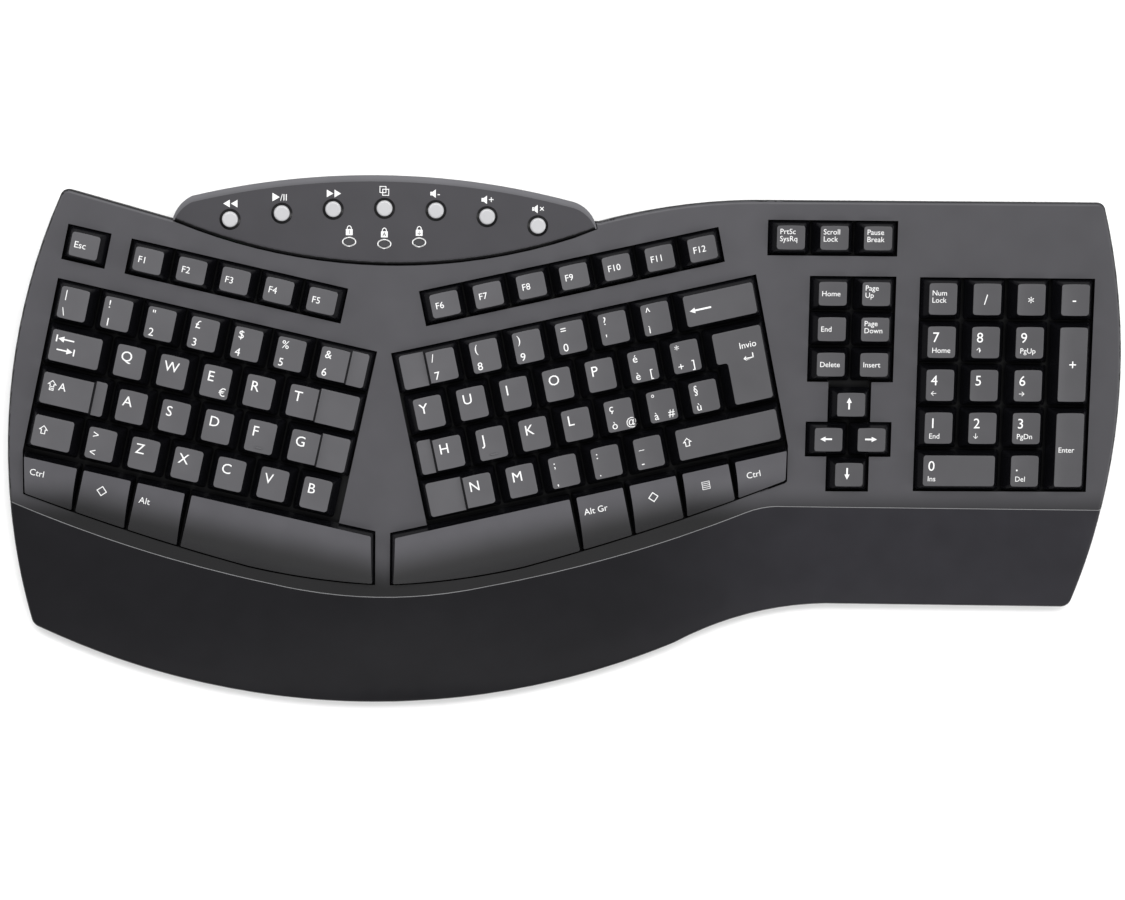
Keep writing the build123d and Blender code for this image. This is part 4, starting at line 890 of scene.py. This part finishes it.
barLegends = [  # node, the sign, its place right of and in front of the rear left corner, its size
    ("left_ctrl_key", "Ctrl", 5.0, 8.2, "function"), ("left_os_key", "◇", 8.0, 10.0, "pair"),
    ("left_alt_key", "Alt", 3.2, 9.5, "function"), ("right_alt_key", "Alt Gr", 3.2, 9.5, "function"),
    ("right_os_key", "◇", 8.0, 10.0, "pair"), ("menu_key", "▤", 8.5, 10.0, "pair"),
    ("right_ctrl_key", "Ctrl", 5.0, 9.5, "function"),
]
arrows = [  # node, half, its tip, its shape, turn
    ("tab_key", "left", column(0.5, "left") - 3.3, row["upper"] + 4.0, "tab", 0),
    ("tab_key", "left", column(0.5, "left") + 3.9, row["upper"] - 0.8, "tab", 180),
    ("backspace_key", "right", column(13.5, "right") - 4.2, row["number"] + 0.7, "back", 0),
    ("up_arrow_key", "block", blockColumn["navMiddle"] - 0.8, row["arrowUp"] + 3.9, "block", -90),
    ("left_arrow_key", "block", blockColumn["navLeft"] - 3.6, row["arrowSide"] + 1.0, "block", 0),
    ("right_arrow_key", "block", blockColumn["navRight"] + 2.4, row["arrowSide"] + 1.0, "block", 180),
    ("down_arrow_key", "block", blockColumn["navMiddle"] - 0.8, row["arrowDown"] - 1.4, "block", 90),
]
marks = {}


def addSigns(node, half, x, y, signs):
    for words, dx, dy, size, *stretch in signs:
        place = (x + dx, y + layout["capTop"] + dy)
        text = addText(words, planes[half], *place, legendLook[size], "LEFT", *stretch)
        marks.setdefault(node, []).append(text)


for node, half, depth, first, keys in rowsOfLegends:
    for index, signs in enumerate(keys):
        addSigns(node, half, column(first + index + 0.5, half), row[depth], signs)
for node, across, depths, signs in blockLegends:
    addSigns(node, "block", blockColumn[across], sum(row[depth] for depth in depths) / len(depths), signs)
for node, words, right, front, size in barLegends:
    half = halfOf(node)
    places = [planes[half].inverted() @ v.co / mm for v in caps[node].data.vertices]
    left, rear = min(p.x for p in places), max(p.y for p in places)
    text = addText(words, planes[half], left + right, rear - front, legendLook[size])
    text.location.z += printLook["above"] * mm
    marks[node] = [text]
for node, half, x, y, shape, turned in arrows:
    marks.setdefault(node, []).append(addArrow(planes[half], x, y, *arrowShapes[shape], turned))
for node, texts in marks.items():
    printOn(texts, node + "Legends", caps[node], node, "legendInk")
print("legends printed:", sum(len(texts) for texts in marks.values()))

# signs of the media panel: the button's sign, how far left of the button it starts and its size
panelSigns = [
    ("rewind_button", "◀◀", -3.1, 3.6), ("play_button", "▶/II", -4.4, 4.0),
    ("forward_button", "▶▶", -3.1, 3.6), ("media_button", "⧉", -2.4, 4.8),
]
volumeSigns = {"volume_down_button": "-", "volume_up_button": "+", "mute_button": "×"}
signLook = {
    "rear": 5.4, "speakerRear": 7.2, "box": (-1.9, 0, 1.1, 1.5), "horn": (-0.9, 0, 2.4, 3.6),
    "mark": (0.5, -1.35, 4.2), "lockRear": 4.1, "lock": (0, 0, 2.9, 2.6), "shackleRear": 5.6,
    "shackle": (1.05, 1.35, 0.35), "digit": (-0.85, 2.5),
}
panelMarks, darkMarks = [], []


def atHeight(spot):
    return Matrix.Translation(Vector((0, 0, spot.z)) * mm)


def addFlat(spot, dx, dy, wide, deep, corners=4):
    # flat bar, or a triangle that points left
    deselect()
    if corners == 3:
        bpy.ops.mesh.primitive_circle_add(vertices=3, radius=1, fill_type="NGON", rotation=leftward)
        bpy.ops.object.transform_apply(rotation=True)
        bpy.context.object.scale = (wide / 1.5 * mm, deep / math.sqrt(3) * mm, 1)
    else:
        bpy.ops.mesh.primitive_plane_add(size=1)
        bpy.context.object.scale = (wide * mm, deep * mm, 1)
    bpy.context.object.location = Vector((spot.x + dx, spot.y + dy, spot.z + printLook["above"])) * mm
    return bpy.context.object


for node, words, dx, size in panelSigns:
    spot = onPanel(buttonShares[node], dx, signLook["rear"]) / mm
    panelMarks.append(addText(words, atHeight(spot), spot.x, spot.y, size))
for node, words in volumeSigns.items():
    spot = onPanel(buttonShares[node], 0, signLook["speakerRear"]) / mm
    dx, dy, size = signLook["mark"]
    panelMarks.append(addFlat(spot, *signLook["box"]))
    panelMarks.append(addFlat(spot, *signLook["horn"], corners=3))
    panelMarks.append(addText(words, atHeight(spot), spot.x + dx, spot.y + dy, size))
shacklePlaces = [onPanel(share, 0, signLook["shackleRear"]) for share in lensShares]
panelMarks += ringsAt(shacklePlaces, *signLook["shackle"])
for share, words in zip(lensShares, ("1", "A", "↓")):
    spot = onPanel(share, 0, signLook["lockRear"]) / mm
    dy, size = signLook["digit"]
    panelMarks.append(addFlat(spot, *signLook["lock"]))
    darkMarks.append(addText(words, atHeight(spot), spot.x, spot.y + dy, size, "CENTER"))
printOn(panelMarks, "panelSigns", panel, "housing", "legendInk")
printOn(darkMarks, "panelDarkSigns", panel, "housing", "paintedShadeAndDarkPrint", printLook["darkLift"])

# raised bars that the forefingers feel, on F and J: size in mm, and how far in front of the middle
barLook = {"wide": 3.4, "deep": 0.7, "high": 0.7, "round": 0.2, "segments": 2, "front": 5.0, "sunk": 0.4}
deselect()
bpy.ops.mesh.primitive_cube_add(size=1, location=(0, 0, 0))
firstBar = bpy.context.object
firstBar.scale = (barLook["wide"] * mm, barLook["deep"] * mm, barLook["high"] * mm)
bpy.ops.object.transform_apply(scale=True)
bpy.ops.object.mode_set(mode="EDIT")
bpy.ops.mesh.select_all(action="SELECT")
bpy.ops.mesh.bevel(offset=barLook["round"] * mm, segments=barLook["segments"], affect="EDGES")
bpy.ops.object.mode_set(mode="OBJECT")
barPlaces = (("home_letter_keys_left", "left", 5.25), ("home_letter_keys_right", "right", 8.25))
for bar, (node, half, place) in zip(copies(firstBar, len(barPlaces)), barPlaces):
    makeActive(bar)
    bar.name = bar.data.name = node + "FingerBar"
    depth = row["home"] + layout["capTop"] - barLook["front"]
    at = Vector((column(place, half), depth, -barLook["sunk"])) * mm
    bar.matrix_world = planes[half] @ Matrix.Translation(at)
    bpy.ops.object.transform_apply(location=True, rotation=True, scale=True)
    bpy.ops.object.shade_smooth_by_angle(angle=math.radians(meshLook["smooth"]))
    paint(bar, "litKeyTop")
    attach(bar, node)
print("finger bars made")

# every other imported solid keeps its shape and gets its finish
# the key guides are painted near black as shade
plainNodes = {
    "bottom_case": "casePlastic", "key_guides": "guidePaintedShade", "rubber_domes": "domeRubber",
    "membranes": "membraneFilm", "backplates": "plateSteel", "controller_board": "boardLacquer",
    "indicator_lenses": "lensPlastic", "stabiliser_wires": "wireSteel", "rubber_pads": "padRubber",
    "case_screws": "screwSteel", "left_foot": "casePlastic", "right_foot": "casePlastic",
}
for node, material in plainNodes.items():
    paint(nodes[node], material)
print("plain solids painted")
